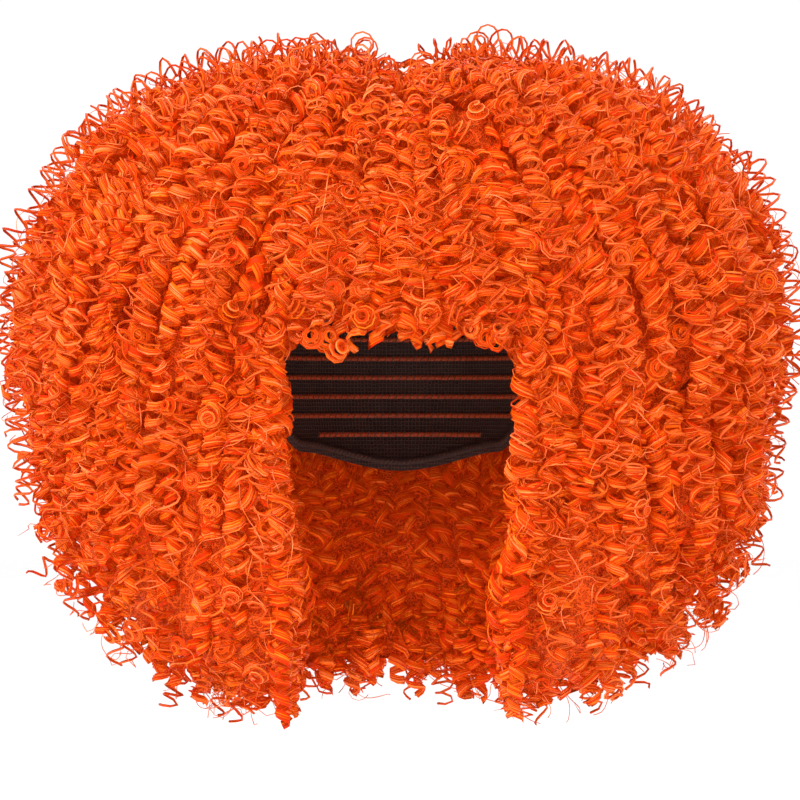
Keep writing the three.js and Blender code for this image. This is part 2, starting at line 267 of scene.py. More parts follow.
@dataclass(frozen=True)
class HeadSpace:
    """The space that hair stays out of: the cap, the head below it, the neck and the face.

    Attributes:
        half_width: Half width of the cap over its hem.
        half_length: Half length of the cap.
        crown_height: From the crown down to the head's widest level.
        cap_depth: From the crown down to the nape.
        neck_half: Half width of the hollow round the neck.
        neck_back: How far the neck's centre lies behind the crown.
        neck_drop: From the crown down to where the head has drawn in to the neck.
        fringe_drop: From the crown down to the fringe's lower edge.
        temple_half: Half width of the face opening at the temples.
        jaw_half: Half width of the opening beside the neck.
    """

    half_width: float
    half_length: float
    cap_depth: float
    crown_height: float = 106 * MM
    neck_half: float = 57 * MM
    neck_back: float = 8 * MM
    neck_drop: float = 222 * MM
    fringe_drop: float = 84 * MM
    temple_half: float = 62 * MM
    jaw_half: float = 53 * MM

    @classmethod
    def of_frame(cls) -> "HeadSpace":
        """Takes the cap's sizes from the frame."""
        low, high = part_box("cap")
        return cls(half_width=high.x, half_length=high.y, cap_depth=-low.z)

    def opening_half(self, height: np.ndarray) -> np.ndarray:
        """Gives half the width of the face opening at each height."""
        share = smoothstep(-150 * MM, -225 * MM, height)
        return self.temple_half + (self.jaw_half - self.temple_half) * share

    def hollow_share(self, points: np.ndarray, clear: float | np.ndarray) -> np.ndarray:
        """Reads how far out each point lies in the hollow, 1 at its wall.

        Args:
            points: Positions, one row each.
            clear: How far the wall is moved outwards, one value or one for each point.

        Returns:
            Shares below 1 inside the hollow.
        """
        height = points[:, 2]
        dome = np.clip((height + self.crown_height) / (self.crown_height + clear), 0.0, 1.0)
        swell = np.maximum(1.0 - dome**2.25, 1e-4) ** (1 / 2.25)
        below = smoothstep(-self.crown_height, -self.neck_drop, height)
        half_width = (self.half_width * (1 - below) + self.neck_half * below) * swell + clear
        half_length = (self.half_length * (1 - below) + self.neck_half * below) * swell + clear
        back = self.neck_back * below
        share = np.hypot(points[:, 0] / half_width, (points[:, 1] - back) / half_length)
        return np.where(height > clear, 2.0, share)

    def push_out(self, points: np.ndarray, clear: float | np.ndarray) -> np.ndarray:
        """Moves points out of the hollow and the face opening.

        Args:
            points: Positions, one row each.
            clear: How far from the walls they end, one value or one for each point.

        Returns:
            The moved positions.
        """
        moved = points.copy()
        share = self.hollow_share(moved, clear)
        inside = share < 1.0
        moved[inside, :2] /= np.maximum(share[inside, None], 0.2)
        half = self.opening_half(moved[:, 2]) + clear
        facing = (moved[:, 1] < 0) & (moved[:, 2] < -self.fringe_drop - 17 * MM)
        facing &= np.abs(moved[:, 0]) < half
        side = np.where(moved[:, 0] < 0, -1.0, 1.0)
        moved[facing, 0] = (side * half)[facing]
        return moved

    def in_opening(self, points: np.ndarray, margin: float) -> np.ndarray:
        """Says which points lie in front of the face, below the fringe."""
        narrow = np.abs(points[:, 0]) < self.opening_half(points[:, 2]) - margin
        return narrow & (points[:, 1] < 0.02) & (points[:, 2] < -self.fringe_drop - 6 * MM)


@dataclass(frozen=True)
class Layer:
    """One layer of ringlets.

    Attributes:
        name: Word used in its pieces' names.
        spacing: Least distance between two tips.
        length: Shortest and longest lock.
        body_depth: How deep the lock's line lies below the form.
        tip_depth: Least and greatest depth of the tips, negative where they stand out.
        root_depth: How deep its root is.
        coil: Least and greatest radius of the winding.
        pitch: Least and greatest rise of one turn.
        lean: Least and greatest outward lean of hanging locks.
        sections: Sections of the band in one turn.
        width: Full width of its band.
        flared: Share of the locks whose tips turn outwards.
    """

    name: str
    spacing: float
    length: tuple[float, float]
    body_depth: tuple[float, float]
    tip_depth: tuple[float, float]
    root_depth: float
    coil: tuple[float, float]
    pitch: tuple[float, float]
    lean: tuple[float, float]
    sections: float
    width: float
    flared: float = 0.4

    @property
    def thickness(self) -> float:
        """Gives the full thickness of its band."""
        return min(1.0 * MM, self.width * 0.6)


RINGLETS = Layer(
    name="ringlets",
    spacing=38 * MM,
    length=(90 * MM, 160 * MM),
    body_depth=(5 * MM, 10 * MM),
    tip_depth=(-1 * MM, 6 * MM),
    root_depth=18 * MM,
    coil=(5.0 * MM, 6.3 * MM),
    pitch=(10 * MM, 13 * MM),
    lean=(-0.05, 0.35),
    sections=7.8,
    width=4.0 * MM,
    flared=0.55,
)
SPRINGS = Layer(
    name="springs",
    spacing=41 * MM,
    length=(75 * MM, 120 * MM),
    body_depth=(-8 * MM, -2 * MM),
    tip_depth=(-9 * MM, -2 * MM),
    root_depth=12 * MM,
    coil=(5.0 * MM, 6.3 * MM),
    pitch=(10 * MM, 13.5 * MM),
    lean=(0.0, 0.45),
    sections=8.8,
    width=1.5 * MM,
    flared=0.2,
)
OUTER = Layer(
    name="outer",
    spacing=29.5 * MM,
    length=(60 * MM, 110 * MM),
    body_depth=(11 * MM, 16 * MM),
    tip_depth=(4 * MM, 11 * MM),
    root_depth=18 * MM,
    coil=(4.4 * MM, 6.0 * MM),
    pitch=(9 * MM, 13 * MM),
    lean=(-0.05, 0.45),
    sections=6.4,
    width=5.0 * MM,
)
MIDDLE = Layer(
    name="middle",
    spacing=35 * MM,
    length=(60 * MM, 105 * MM),
    body_depth=(15 * MM, 19 * MM),
    tip_depth=(9 * MM, 15 * MM),
    root_depth=22 * MM,
    coil=(4.6 * MM, 6.2 * MM),
    pitch=(10 * MM, 15 * MM),
    lean=(-0.05, 0.4),
    sections=5.6,
    width=7.0 * MM,
)


@dataclass(frozen=True)
class Loose:
    """Thin fibres that have worked loose.

    Attributes:
        name: Word used in the pieces' names.
        sections: Sections of a fibre in one turn.
        width: Full width of a fibre along the winding's axis.
        thickness: Its full width across the winding.
    """

    name: str
    sections: float
    width: float
    thickness: float


STRANDS = Loose("strands", 6.0, 0.95 * MM, 0.55 * MM)
WISPS = Loose("wisps", 6.2, 0.7 * MM, 0.42 * MM)
FRIZZ = Loose("frizz", 4.2, 0.55 * MM, 0.33 * MM)
ROSETTES = Loose("rosettes", 9.5, 1.0 * MM, 1.8 * MM)
ROSETTE_STRANDS = Loose("rosette_strands", 9.0, 0.7 * MM, 0.6 * MM)


@dataclass
class Guides:
    """The lines of a set of locks, with what winds round each of them.

    Attributes:
        points: Positions, locks by points by 3.
        turn: Angle of the winding at each point, in radians.
        pitch: Rise of one turn, for each lock.
        coil: Radius of the winding at each point.
        body: Share of the full band at each point.
        tint: One number from 0 to 1 for each lock.
        depth: Depth below the form at each point, as a share of the darkest depth, which sets how much
            painted shade the lock gets.
        STRAND_CLOSING: How far strands side by side close up towards the tip.
        STRAND_DRIFT: How far a strand wanders round the winding, in radians.
        STRAND_RADIUS: Mean radius of a strand, as a share of the lock's.
        NESTED_TURN: Spread of the turn between nested strands, in radians.
        LOOSE_DRIFT: How far a loose strand wanders round the winding, in radians.
    """

    points: np.ndarray
    turn: np.ndarray
    pitch: np.ndarray
    coil: np.ndarray
    body: np.ndarray
    tint: np.ndarray
    depth: np.ndarray

    STRAND_CLOSING = 0.7
    STRAND_DRIFT = 0.3
    STRAND_RADIUS = 1.05
    NESTED_TURN = 0.25
    LOOSE_DRIFT = 0.7

    def chosen(self, mask: np.ndarray) -> "Guides":
        """Picks the locks that a mask marks."""
        return Guides(*(getattr(self, name)[mask] for name in self.__dataclass_fields__))

    def joined(self, other: "Guides") -> "Guides":
        """Adds the locks of another set."""
        pairs = ((getattr(self, name), getattr(other, name)) for name in self.__dataclass_fields__)
        return Guides(*(np.concatenate(pair) for pair in pairs))

    @property
    def along(self) -> np.ndarray:
        """Gives the share of the way along a lock, from 0 at its root to 1 at its tip."""
        return np.linspace(0.0, 1.0, self.points.shape[1])[None, :]

    def fanned(self, shares: tuple[float, ...], rng: np.random.Generator) -> "Guides":
        """Splits each lock into strands that are wound side by side.

        Args:
            shares: Where each strand lies, in turns of the winding before or behind the lock.
            rng: The random source.

        Returns:
            The strands' guides.
        """
        count = len(self.points)
        close = 1 - self.STRAND_CLOSING * smoothstep(0.75, 1.0, self.along)
        made = None
        for share in shares:
            phase = rng.uniform(0, 2 * math.pi, (count, 1))
            drift = self.STRAND_DRIFT * np.sin(rng.uniform(7, 13, (count, 1)) * self.along + phase)
            wide = self.STRAND_RADIUS + rng.normal(0, 0.05, (count, 1))
            wide = wide + 0.04 * np.sin(11.0 * self.along + 2 * phase)
            strand = Guides(
                points=self.points,
                turn=self.turn + 2 * math.pi * share * close + drift,
                pitch=self.pitch,
                coil=self.coil * wide,
                body=self.body * rng.uniform(0.75, 1.15, (count, 1)),
                tint=0.5 * self.tint + 0.5 * rng.random(count),
                depth=self.depth,
            )
            made = strand if made is None else made.joined(strand)
        return made

    def nested(self, shares: tuple[float, ...], rng: np.random.Generator) -> "Guides":
        """Makes strands inside and outside each winding.

        Args:
            shares: Their radii, as shares of the winding's.
            rng: The random source.

        Returns:
            The strands' guides.
        """
        count = len(self.points)
        made = None
        for share in shares:
            strand = Guides(
                points=self.points,
                turn=self.turn + rng.normal(0, self.NESTED_TURN, (count, 1)),
                pitch=self.pitch,
                coil=self.coil * (share + rng.normal(0, 0.03, (count, 1))),
                body=rng.uniform(0.8, 1.3, self.body[:, :1].shape) * np.ones_like(self.body),
                tint=0.5 * self.tint + 0.5 * rng.random(count),
                depth=self.depth,
            )
            made = strand if made is None else made.joined(strand)
        return made

    def loosened(self, rng: np.random.Generator) -> "Guides":
        """Makes one thin strand beside each lock, wound more loosely.

        Args:
            rng: The random source.

        Returns:
            The strands' guides.
        """
        count = len(self.points)
        rate = rng.uniform(5, 12, (count, 1))
        drift = self.LOOSE_DRIFT * np.sin(rate * self.along + rng.uniform(0, 6.3, (count, 1)))
        return Guides(
            points=self.points,
            turn=self.turn + rng.uniform(-1.2, 1.2, (count, 1)) + drift,
            pitch=self.pitch,
            coil=self.coil * rng.uniform(0.9, 1.4, (count, 1)),
            body=np.ones_like(self.body) * rng.uniform(0.7, 1.2, (count, 1)),
            tint=rng.random(count) * 0.3,
            # Loose strands get half their lock's painted shade.
            depth=self.depth * 0.5,
        )

    def as_object(self, name: str) -> bpy.types.Object:
        """Makes a mesh of edges that carries the lines and their values.

        Args:
            name: The object's name.

        Returns:
            The object, linked to the scene.
        """
        count, length, _ = self.points.shape
        index = np.arange(count * length).reshape(count, length)
        edges = np.stack([index[:, :-1].ravel(), index[:, 1:].ravel()], axis=1)
        mesh = bpy.data.meshes.new(name)
        mesh.from_pydata(self.points.reshape(-1, 3).tolist(), edges.tolist(), [])
        values = {name: getattr(self, name) for name in ("turn", "coil", "body", "depth")}
        for name in ("pitch", "tint"):
            values[name] = np.repeat(getattr(self, name)[:, None], length, axis=1)
        for key, value in values.items():
            attribute = mesh.attributes.new(key, "FLOAT", "POINT")
            attribute.data.foreach_set("value", np.ascontiguousarray(value, np.float32).ravel())
        made = bpy.data.objects.new(name, mesh)
        bpy.context.scene.collection.objects.link(made)
        return made


@dataclass
class LockField:
    """Grows the lines of locks so that they fall from the crown like a fountain.

    The amounts in capitals shape the locks: where they lie and how they fan, flare, sway and wind;
    ROSETTE_SHADE is the rosettes' painted shade.

    Attributes:
        form: The hair's outer form.
        head: The space that stays free.
        steps: Points along each lock.
        candidates: Places that the tips are picked from.
        lower_closer: How much closer together the tips lie on the lower half, as a share.
        clearance: Least distance from the hollow to a lock's line.
        most_torn: Locks that the hollow moves aside by more are left out.
        fully_shaded_depth: Depth below the form at which a lock's painted shade is darkest.
    """

    form: HairForm
    head: HeadSpace
    steps: int = 26
    candidates: int = 14000
    lower_closer: float = 0.27
    clearance: float = 4 * MM
    most_torn: float = 12 * MM
    fully_shaded_depth: float = 40 * MM

    FRINGE_HALF = 66 * MM
    FRINGE_HEIGHTS = (-97 * MM, -74 * MM)
    FRINGE_RISE = 6 * MM
    FAN_BELOW_TOP = 25 * MM
    FAN_SHARE = 0.65
    FAN_IN_DRAPE = 0.55
    RISING_RADII = (15 * MM, 60 * MM)
    TIP_ZONE = 30 * MM
    ROOT_ZONE = 22 * MM
    FLARE_ZONE = (8 * MM, 26 * MM)
    STRONG_FLARE = (1.0, 2.2)
    WEAK_FLARE = (0.0, 0.4)
    FOLLOWING = 0.55
    SWAYS = ((90 * MM, 2.6 * MM), (45 * MM, 1.0 * MM))
    STRAY_POINTS = 20
    STRAY_LENGTH = (22 * MM, 48 * MM)
    STRAY_COIL = (2.0 * MM, 5.0 * MM)
    STRAY_PITCH = 9.6 * MM
    EDGE_LOCKS = 22
    EDGE_TOP = (-88 * MM, -50 * MM)
    EDGE_FOOT = (-274 * MM, -205 * MM)
    FOREHEAD_HALF = 85 * MM
    FOREHEAD_FOOT = -92 * MM
    ROSETTE_POINTS = 14
    ROSETTE_LENGTH = (7 * MM, 10 * MM)
    ROSETTE_TURNS = (2.0, 2.8)
    ROSETTE_COIL = (4.6 * MM, 6.4 * MM)
    ROSETTE_SHADE = 0.35

    def on_form(self, points: np.ndarray) -> np.ndarray:
        """Moves points forwards onto the form, at the places across and the heights they have.

        Args:
            points: Positions in front of the face, one row each.

        Returns:
            The moved positions.
        """
        level = points[:, 2] - self.form.centre_height
        moved = points.copy()
        for _ in range(3):
            reach = self.form.reach(moved)
            moved[:, 1] = -np.sqrt(np.maximum(reach**2 - moved[:, 0] ** 2 - level**2, 1e-4))
        return moved

    def spread_tips(self, spacing: float, rng: np.random.Generator) -> np.ndarray:
        """Spreads tips over the form, none closer to another than a distance.

        Args:
            spacing: The least distance.
            rng: The random source.

        Returns:
            The tips, one row each.
        """
        points = self.form.sample(self.candidates, rng)
        outside = self.head.hollow_share(points, self.clearance) > 1.0
        points = points[outside & ~self.head.in_opening(points, -3 * MM)]
        facing = smoothstep(0.1, -0.4, self.form.normal(points)[:, 2])
        lower = np.maximum(facing, smoothstep(-140 * MM, -260 * MM, points[:, 2]))
        wanted = (spacing * (1 - self.lower_closer * lower)) ** 2
        kept = np.empty_like(points)
        count = 0
        for point, least in zip(points, wanted):
            gaps = np.sum((kept[:count] - point) ** 2, axis=1)
            if count == 0 or gaps.min() > least:
                kept[count] = point
                count += 1
        return kept[:count]

    def fringe_tips(self, count: int, rng: np.random.Generator) -> np.ndarray:
        """Spreads the tips of the locks that the fringe's lower edge cuts short.

        Args:
            count: How many tips to make.
            rng: The random source.

        Returns:
            The tips, on the form.
        """
        across = (np.arange(count) + rng.random(count)) / count * 2 - 1
        height = rng.uniform(*self.FRINGE_HEIGHTS, count) + self.FRINGE_RISE * across**2
        forth = np.full(count, -100 * MM)
        return self.on_form(np.stack([across * self.FRINGE_HALF, forth, height], axis=1))

    def direction(self, points: np.ndarray, lean: np.ndarray) -> np.ndarray:
        """Gives the way that hair falls at each point.

        Args:
            points: Positions, one row each.
            lean: Outward lean of each lock where it hangs.

        Returns:
            Directions of length 1.
        """
        normal = self.form.normal(points)
        down = np.array([0.0, 0.0, -1.0])
        descent = down - normal * (normal @ down)[:, None]
        descent /= np.maximum(np.linalg.norm(descent, axis=1, keepdims=True), 1e-6)
        fan = points - np.array([0.0, 0.0, self.form.top - self.FAN_BELOW_TOP])
        fan -= normal * np.sum(fan * normal, axis=1)[:, None]
        fan /= np.maximum(np.linalg.norm(fan, axis=1, keepdims=True), 1e-6)
        descent = descent * (1 - self.FAN_SHARE) + fan * self.FAN_SHARE
        radius = np.hypot(points[:, 0], points[:, 1])
        outwards = np.zeros_like(points)
        outwards[:, :2] = points[:, :2] / np.maximum(radius, 1e-4)[:, None]
        hanging = smoothstep(0.3, -0.2, normal[:, 2])[:, None]
        upper = smoothstep(-190 * MM, -20 * MM, points[:, 2:])
        drape = down + lean[:, None] * outwards + self.FAN_IN_DRAPE * fan * upper
        flow = descent * (1 - hanging) + drape * hanging
        rising = (1 - smoothstep(*self.RISING_RADII, radius))[:, None] * (normal[:, 2:] > 0.3)
        flow = flow * (1 - rising) - down * rising
        return flow / np.maximum(np.linalg.norm(flow, axis=1, keepdims=True), 1e-6)

    def flares(self, layer: Layer, count: int, rng: np.random.Generator) -> np.ndarray:
        """Picks how far each tip turns outwards.

        Args:
            layer: The layer that gives the share of turned tips.
            count: How many tips there are.
            rng: The random source.

        Returns:
            The weight of the outward direction at each tip.
        """
        turned = rng.random(count) < layer.flared
        strong = rng.uniform(*self.STRONG_FLARE, count)
        return np.where(turned, strong, rng.uniform(*self.WEAK_FLARE, count))

    def grow(self, tips: np.ndarray, layer: Layer, rng: np.random.Generator) -> Guides:
        """Traces each lock from its tip back to its root.

        Args:
            tips: Where the locks' tips lie on the form.
            layer: The layer that they belong to.
            rng: The random source.

        Returns:
            The locks' guides, each from root to tip.
        """
        count = len(tips)
        length = rng.uniform(*layer.length, count)
        lean = rng.uniform(*layer.lean, count)
        tip_depth = rng.uniform(*layer.tip_depth, count)
        body_depth = rng.uniform(*layer.body_depth, count)
        flare = self.flares(layer, count, rng)
        torn = np.zeros(count)
        line = np.empty((count, self.steps, 3))
        depths = np.empty((count, self.steps))
        point = tips - self.form.normal(tips) * tip_depth[:, None]
        for step in range(self.steps):
            line[:, self.steps - 1 - step] = point
            depths[:, self.steps - 1 - step] = self.form.depth(point)
            share = (step + 1) / (self.steps - 1)
            behind = length * share
            near_tip = 1 - smoothstep(0.0, self.TIP_ZONE, behind)
            near_root = smoothstep(-self.ROOT_ZONE, 0.0, behind - length)
            wanted = body_depth + (tip_depth - body_depth) * near_tip
            wanted += (layer.root_depth - wanted) * near_root
            outwards = flare * (1 - smoothstep(*self.FLARE_ZONE, behind))
            heading = self.direction(point, lean) + self.form.normal(point) * outwards[:, None]
            heading /= np.linalg.norm(heading, axis=1, keepdims=True)
            point = point - heading * (length / (self.steps - 1))[:, None]
            normal = self.form.normal(point)
            follow = self.FOLLOWING * (1 - 0.85 * smoothstep(0.2, -0.3, normal[:, 2]))
            point = point - normal * ((wanted - self.form.depth(point)) * follow)[:, None]
            clear = self.head.push_out(point, self.clearance)
            torn = np.maximum(torn, np.linalg.norm(clear - point, axis=1))
            point = clear
        line += self.sway(length, count, rng)
        return self.wind(line, length, depths, layer, rng).chosen(torn < self.most_torn)

    def stray(self, guides: Guides, count: int, rng: np.random.Generator) -> Guides:
        """Frees single fibres from the locks, which wander off at random.

        Args:
            guides: The locks that they come from.
            count: How many fibres to make.
            rng: The random source.

        Returns:
            The fibres' guides.
        """
        locks = rng.integers(0, len(guides.points), count)
        places = rng.integers(self.steps // 3, self.steps - 1, count)
        start = guides.points[locks, places]
        ahead = guides.points[locks, places + 1] - start
        ahead /= np.linalg.norm(ahead, axis=1, keepdims=True)
        outwards = self.form.normal(start) * rng.uniform(-0.2, 0.9, (count, 1))
        heading = ahead + outwards + rng.normal(0, 0.6, (count, 3))
        heading /= np.linalg.norm(heading, axis=1, keepdims=True)
        length = rng.uniform(*self.STRAY_LENGTH, count)
        points = self.STRAY_POINTS
        along = np.linspace(0.0, 1.0, points)
        line = start[:, None, :] + heading[:, None, :] * (length[:, None] * along)[:, :, None]
        curl = rng.normal(0, 1.0, (count, 1, 3)) * along[None, :, None] ** 2
        line += curl * (length * 0.35)[:, None, None]
        flat = line.reshape(-1, 3)
        over = self.form.depth(flat) + 4 * MM
        flat -= self.form.normal(flat) * np.maximum(-over, 0.0)[:, None]
        clear = self.head.push_out(flat, 2 * MM)
        torn = np.linalg.norm(clear - flat, axis=1).reshape(count, points).max(axis=1)
        astray = self.head.in_opening(clear, 3 * MM).reshape(count, points).any(axis=1)
        rate = rng.uniform(6.0, 13.0, (count, 1)) * rng.choice([-1.0, 1.0], (count, 1))
        return Guides(
            points=clear.reshape(line.shape),
            turn=rng.uniform(0, 6.3, (count, 1)) + rate * along,
            pitch=np.full(count, self.STRAY_PITCH),
            coil=rng.uniform(*self.STRAY_COIL, (count, 1)) * smoothstep(-0.2, 0.4, along),
            body=np.ones((count, points)) * rng.uniform(0.7, 1.2, (count, 1)),
            tint=rng.random(count) * 0.4,
            # Stray fibres get no painted shade.
            depth=np.zeros((count, points)),
        ).chosen((torn < 10 * MM) & ~astray)

    def frame_face(self, layer: Layer, rng: np.random.Generator) -> Guides:
        """Hangs ringlets along both edges of the face opening.

        Args:
            layer: The layer that gives their winding.
            rng: The random source.

        Returns:
            The locks' guides, each from its upper end down.
        """
        count = self.EDGE_LOCKS
        upper = rng.uniform(*self.EDGE_TOP, count)
        length = upper - rng.uniform(*self.EDGE_FOOT, count)
        height = upper[:, None] - length[:, None] * np.linspace(0.0, 1.0, self.steps)
        side = np.where(np.arange(count) % 2 == 0, -1.0, 1.0)
        apart = 3 * MM + 30 * MM * rng.random(count) ** 2
        across = side[:, None] * (self.head.opening_half(height) + apart[:, None])
        line = np.stack([across, np.full_like(across, -120 * MM), height], axis=2)
        line = self.on_form(line.reshape(-1, 3)).reshape(line.shape)
        line[:, :, 1] += rng.uniform(8 * MM, 26 * MM, (count, 1))
        depths = self.form.depth(line.reshape(-1, 3)).reshape(across.shape)
        line += 1.8 * self.sway(length, count, rng)
        return self.wind(line, length, depths, layer, rng)

    def rosettes(self, count: int, fringe: int, edge: int, rng: np.random.Generator) -> Guides:
        """Winds the ends of ringlets that face outwards.

        Args:
            count: How many ends lie all over the form.
            fringe: How many more lie over the forehead.
            edge: How many more lie along the fringe's lower edge.
            rng: The random source.

        Returns:
            Their guides, each from its inner end out.
        """
        spots = self.form.sample(6000, rng)
        free = self.head.hollow_share(spots, 6 * MM) > 1.0
        spots = spots[free & ~self.head.in_opening(spots, -4 * MM)]
        front = (np.abs(spots[:, 0]) < self.FOREHEAD_HALF) & (spots[:, 1] < 0)
        front &= spots[:, 2] > self.FOREHEAD_FOOT
        spots = np.concatenate([spots[:count], spots[front][:fringe], self.fringe_tips(edge, rng)])
        count = len(spots)
        tilt = np.where(np.arange(count) < count - edge, 0.38, 0.9)[:, None]
        axis = self.form.normal(spots) + tilt * rng.normal(0, 1.0, spots.shape)
        axis /= np.linalg.norm(axis, axis=1, keepdims=True)
        length = rng.uniform(*self.ROSETTE_LENGTH, count)
        ends = spots + axis * rng.uniform(-4 * MM, 3 * MM, (count, 1))
        along = np.linspace(0.0, 1.0, self.ROSETTE_POINTS)
        line = ends[:, None, :] + axis[:, None, :] * (length[:, None] * (along - 1))[:, :, None]
        turns = rng.uniform(*self.ROSETTE_TURNS, count)
        hand = rng.choice([-1.0, 1.0], count)
        turn = rng.uniform(0, 6.3, (count, 1)) + (hand * turns)[:, None] * 2 * math.pi * along
        return Guides(
            points=line,
            turn=turn,
            pitch=length / turns,
            coil=rng.uniform(*self.ROSETTE_COIL, (count, 1)) * (1 - 0.68 * along**1.4),
            body=rng.uniform(0.8, 1.15, (count, 1)) * (1 - 0.6 * smoothstep(0.5, 1.0, along)),
            tint=rng.random(count),
            # Rosettes get one even amount of painted shade.
            depth=np.full(turn.shape, self.ROSETTE_SHADE),
        )

    def hang(self, starts: np.ndarray, layer: Layer, rng: np.random.Generator) -> Guides:
        """Hangs locks along the walls of the hollow, from under the cap down.

        Args:
            starts: The upper ends, inside the hollow.
            layer: The layer that gives their winding.
            rng: The random source.

        Returns:
            The locks' guides, each from its upper end down.
        """
        count = len(starts)
        length = starts[:, 2] - rng.uniform(-292 * MM, -255 * MM, count)
        line = np.repeat(starts[:, None, :], self.steps, axis=1)
        line[:, :, 2] -= length[:, None] * np.linspace(0.0, 1.0, self.steps)
        line += self.sway(length, count, rng)
        clear = rng.uniform(4 * MM, 9 * MM, count)
        for row in range(count):
            line[row] = self.head.push_out(line[row], clear[row])
        # The lining inside the hollow is given a depth of 34 mm, which paints it with deep painted shade.
        depths = np.full((count, self.steps), 34 * MM)
        return self.wind(line, length, depths, layer, rng)

    def sway(self, length: np.ndarray, count: int, rng: np.random.Generator) -> np.ndarray:
        """Gives each lock a slow sideways wander.

        Args:
            length: The locks' lengths.
            count: How many locks there are.
            rng: The random source.

        Returns:
            Offsets, locks by points by 3.
        """
        along = np.linspace(0.0, 1.0, self.steps)[None, :, None]
        wander = np.zeros((count, self.steps, 3))
        for wave_length, amount in self.SWAYS:
            phase = rng.uniform(0, 2 * math.pi, (count, 1, 3))
            turns = (length / wave_length)[:, None, None] * rng.uniform(0.8, 1.2, (count, 1, 3))
            wander += amount * np.sin(2 * math.pi * turns * along + phase)
        return wander

    def wind(
        self,
        line: np.ndarray,
        length: np.ndarray,
        depths: np.ndarray,
        layer: Layer,
        rng: np.random.Generator,
    ) -> Guides:
        """Gives each lock its winding, which starts narrow and draws in at the tip.

        Args:
            line: The locks' lines.
            length: Their lengths.
            depths: Depths below the form.
            layer: The layer that they belong to.
            rng: The random source.

        Returns:
            The finished guides.
        """
        count = len(line)
        along = np.linspace(0.0, 1.0, self.steps)[None, :]
        coil = rng.uniform(*layer.coil, (count, 1))
        pitch = rng.uniform(*layer.pitch, (count, 1))
        hand = np.where(rng.random((count, 1)) < 0.5, -1.0, 1.0)
        ease = smoothstep(0.0, 0.3, along) * (1 - 0.25 * smoothstep(0.85, 1.0, along))
        speed = (1.0 + 0.12 * smoothstep(0.8, 1.0, along)) * np.ones((count, 1))
        travelled = np.cumsum(speed, axis=1) / self.steps * length[:, None]
        turn = rng.uniform(0, 2 * math.pi, (count, 1)) + hand * 2 * math.pi * travelled / pitch
        body = smoothstep(-0.1, 0.15, along) * (1 - 0.68 * smoothstep(0.68, 1.0, along))
        return Guides(
            points=line,
            turn=turn,
            pitch=pitch[:, 0],
            coil=coil * ease,
            body=body * rng.uniform(0.8, 1.2, (count, 1)),
            tint=rng.random(count),
            # The depth below the form, as a share, becomes the lock's painted shade in its material.
            depth=np.clip(depths / self.fully_shaded_depth, 0.0, 1.0),
        )


class Graph:
    """Short calls for building a node tree."""

    def __init__(self, tree: bpy.types.NodeTree) -> None:
        """Keeps the tree that the calls add to."""
        self.tree = tree

    def add(self, kind: str, inputs: dict | None = None, **settings: object) -> bpy.types.Node:
        """Adds a node.

        Args:
            kind: The node's type.
            inputs: Sockets or values by input name or number.
            **settings: Properties of the node.

        Returns:
            The node.
        """
        node = self.tree.nodes.new(kind)
        for name, value in settings.items():
            setattr(node, name, value)
        for key, value in (inputs or {}).items():
            if isinstance(value, bpy.types.NodeSocket):
                self.tree.links.new(value, node.inputs[key])
            else:
                node.inputs[key].default_value = value
        return node

    def math(self, operation: str, a: object, b: object = 0.0) -> bpy.types.NodeSocket:
        """Adds a Math node and returns its output."""
        return self.add("ShaderNodeMath", {0: a, 1: b}, operation=operation).outputs[0]

    def vector(self, operation: str, a: object, b: object = (0.0, 0.0, 0.0)) -> bpy.types.NodeSocket:
        """Adds a Vector Math node and returns its vector output."""
        return self.add("ShaderNodeVectorMath", {0: a, 1: b}, operation=operation).outputs["Vector"]

    def scaled(self, a: object, scale: object) -> bpy.types.NodeSocket:
        """Multiplies a vector by a number."""
        node = self.add("ShaderNodeVectorMath", {0: a, "Scale": scale}, operation="SCALE")
        return node.outputs["Vector"]

    def named(self, name: str, kind: str = "FLOAT") -> bpy.types.NodeSocket:
        """Reads a named attribute in a geometry tree."""
        node = self.add("GeometryNodeInputNamedAttribute", {"Name": name}, data_type=kind)
        return node.outputs["Attribute"]


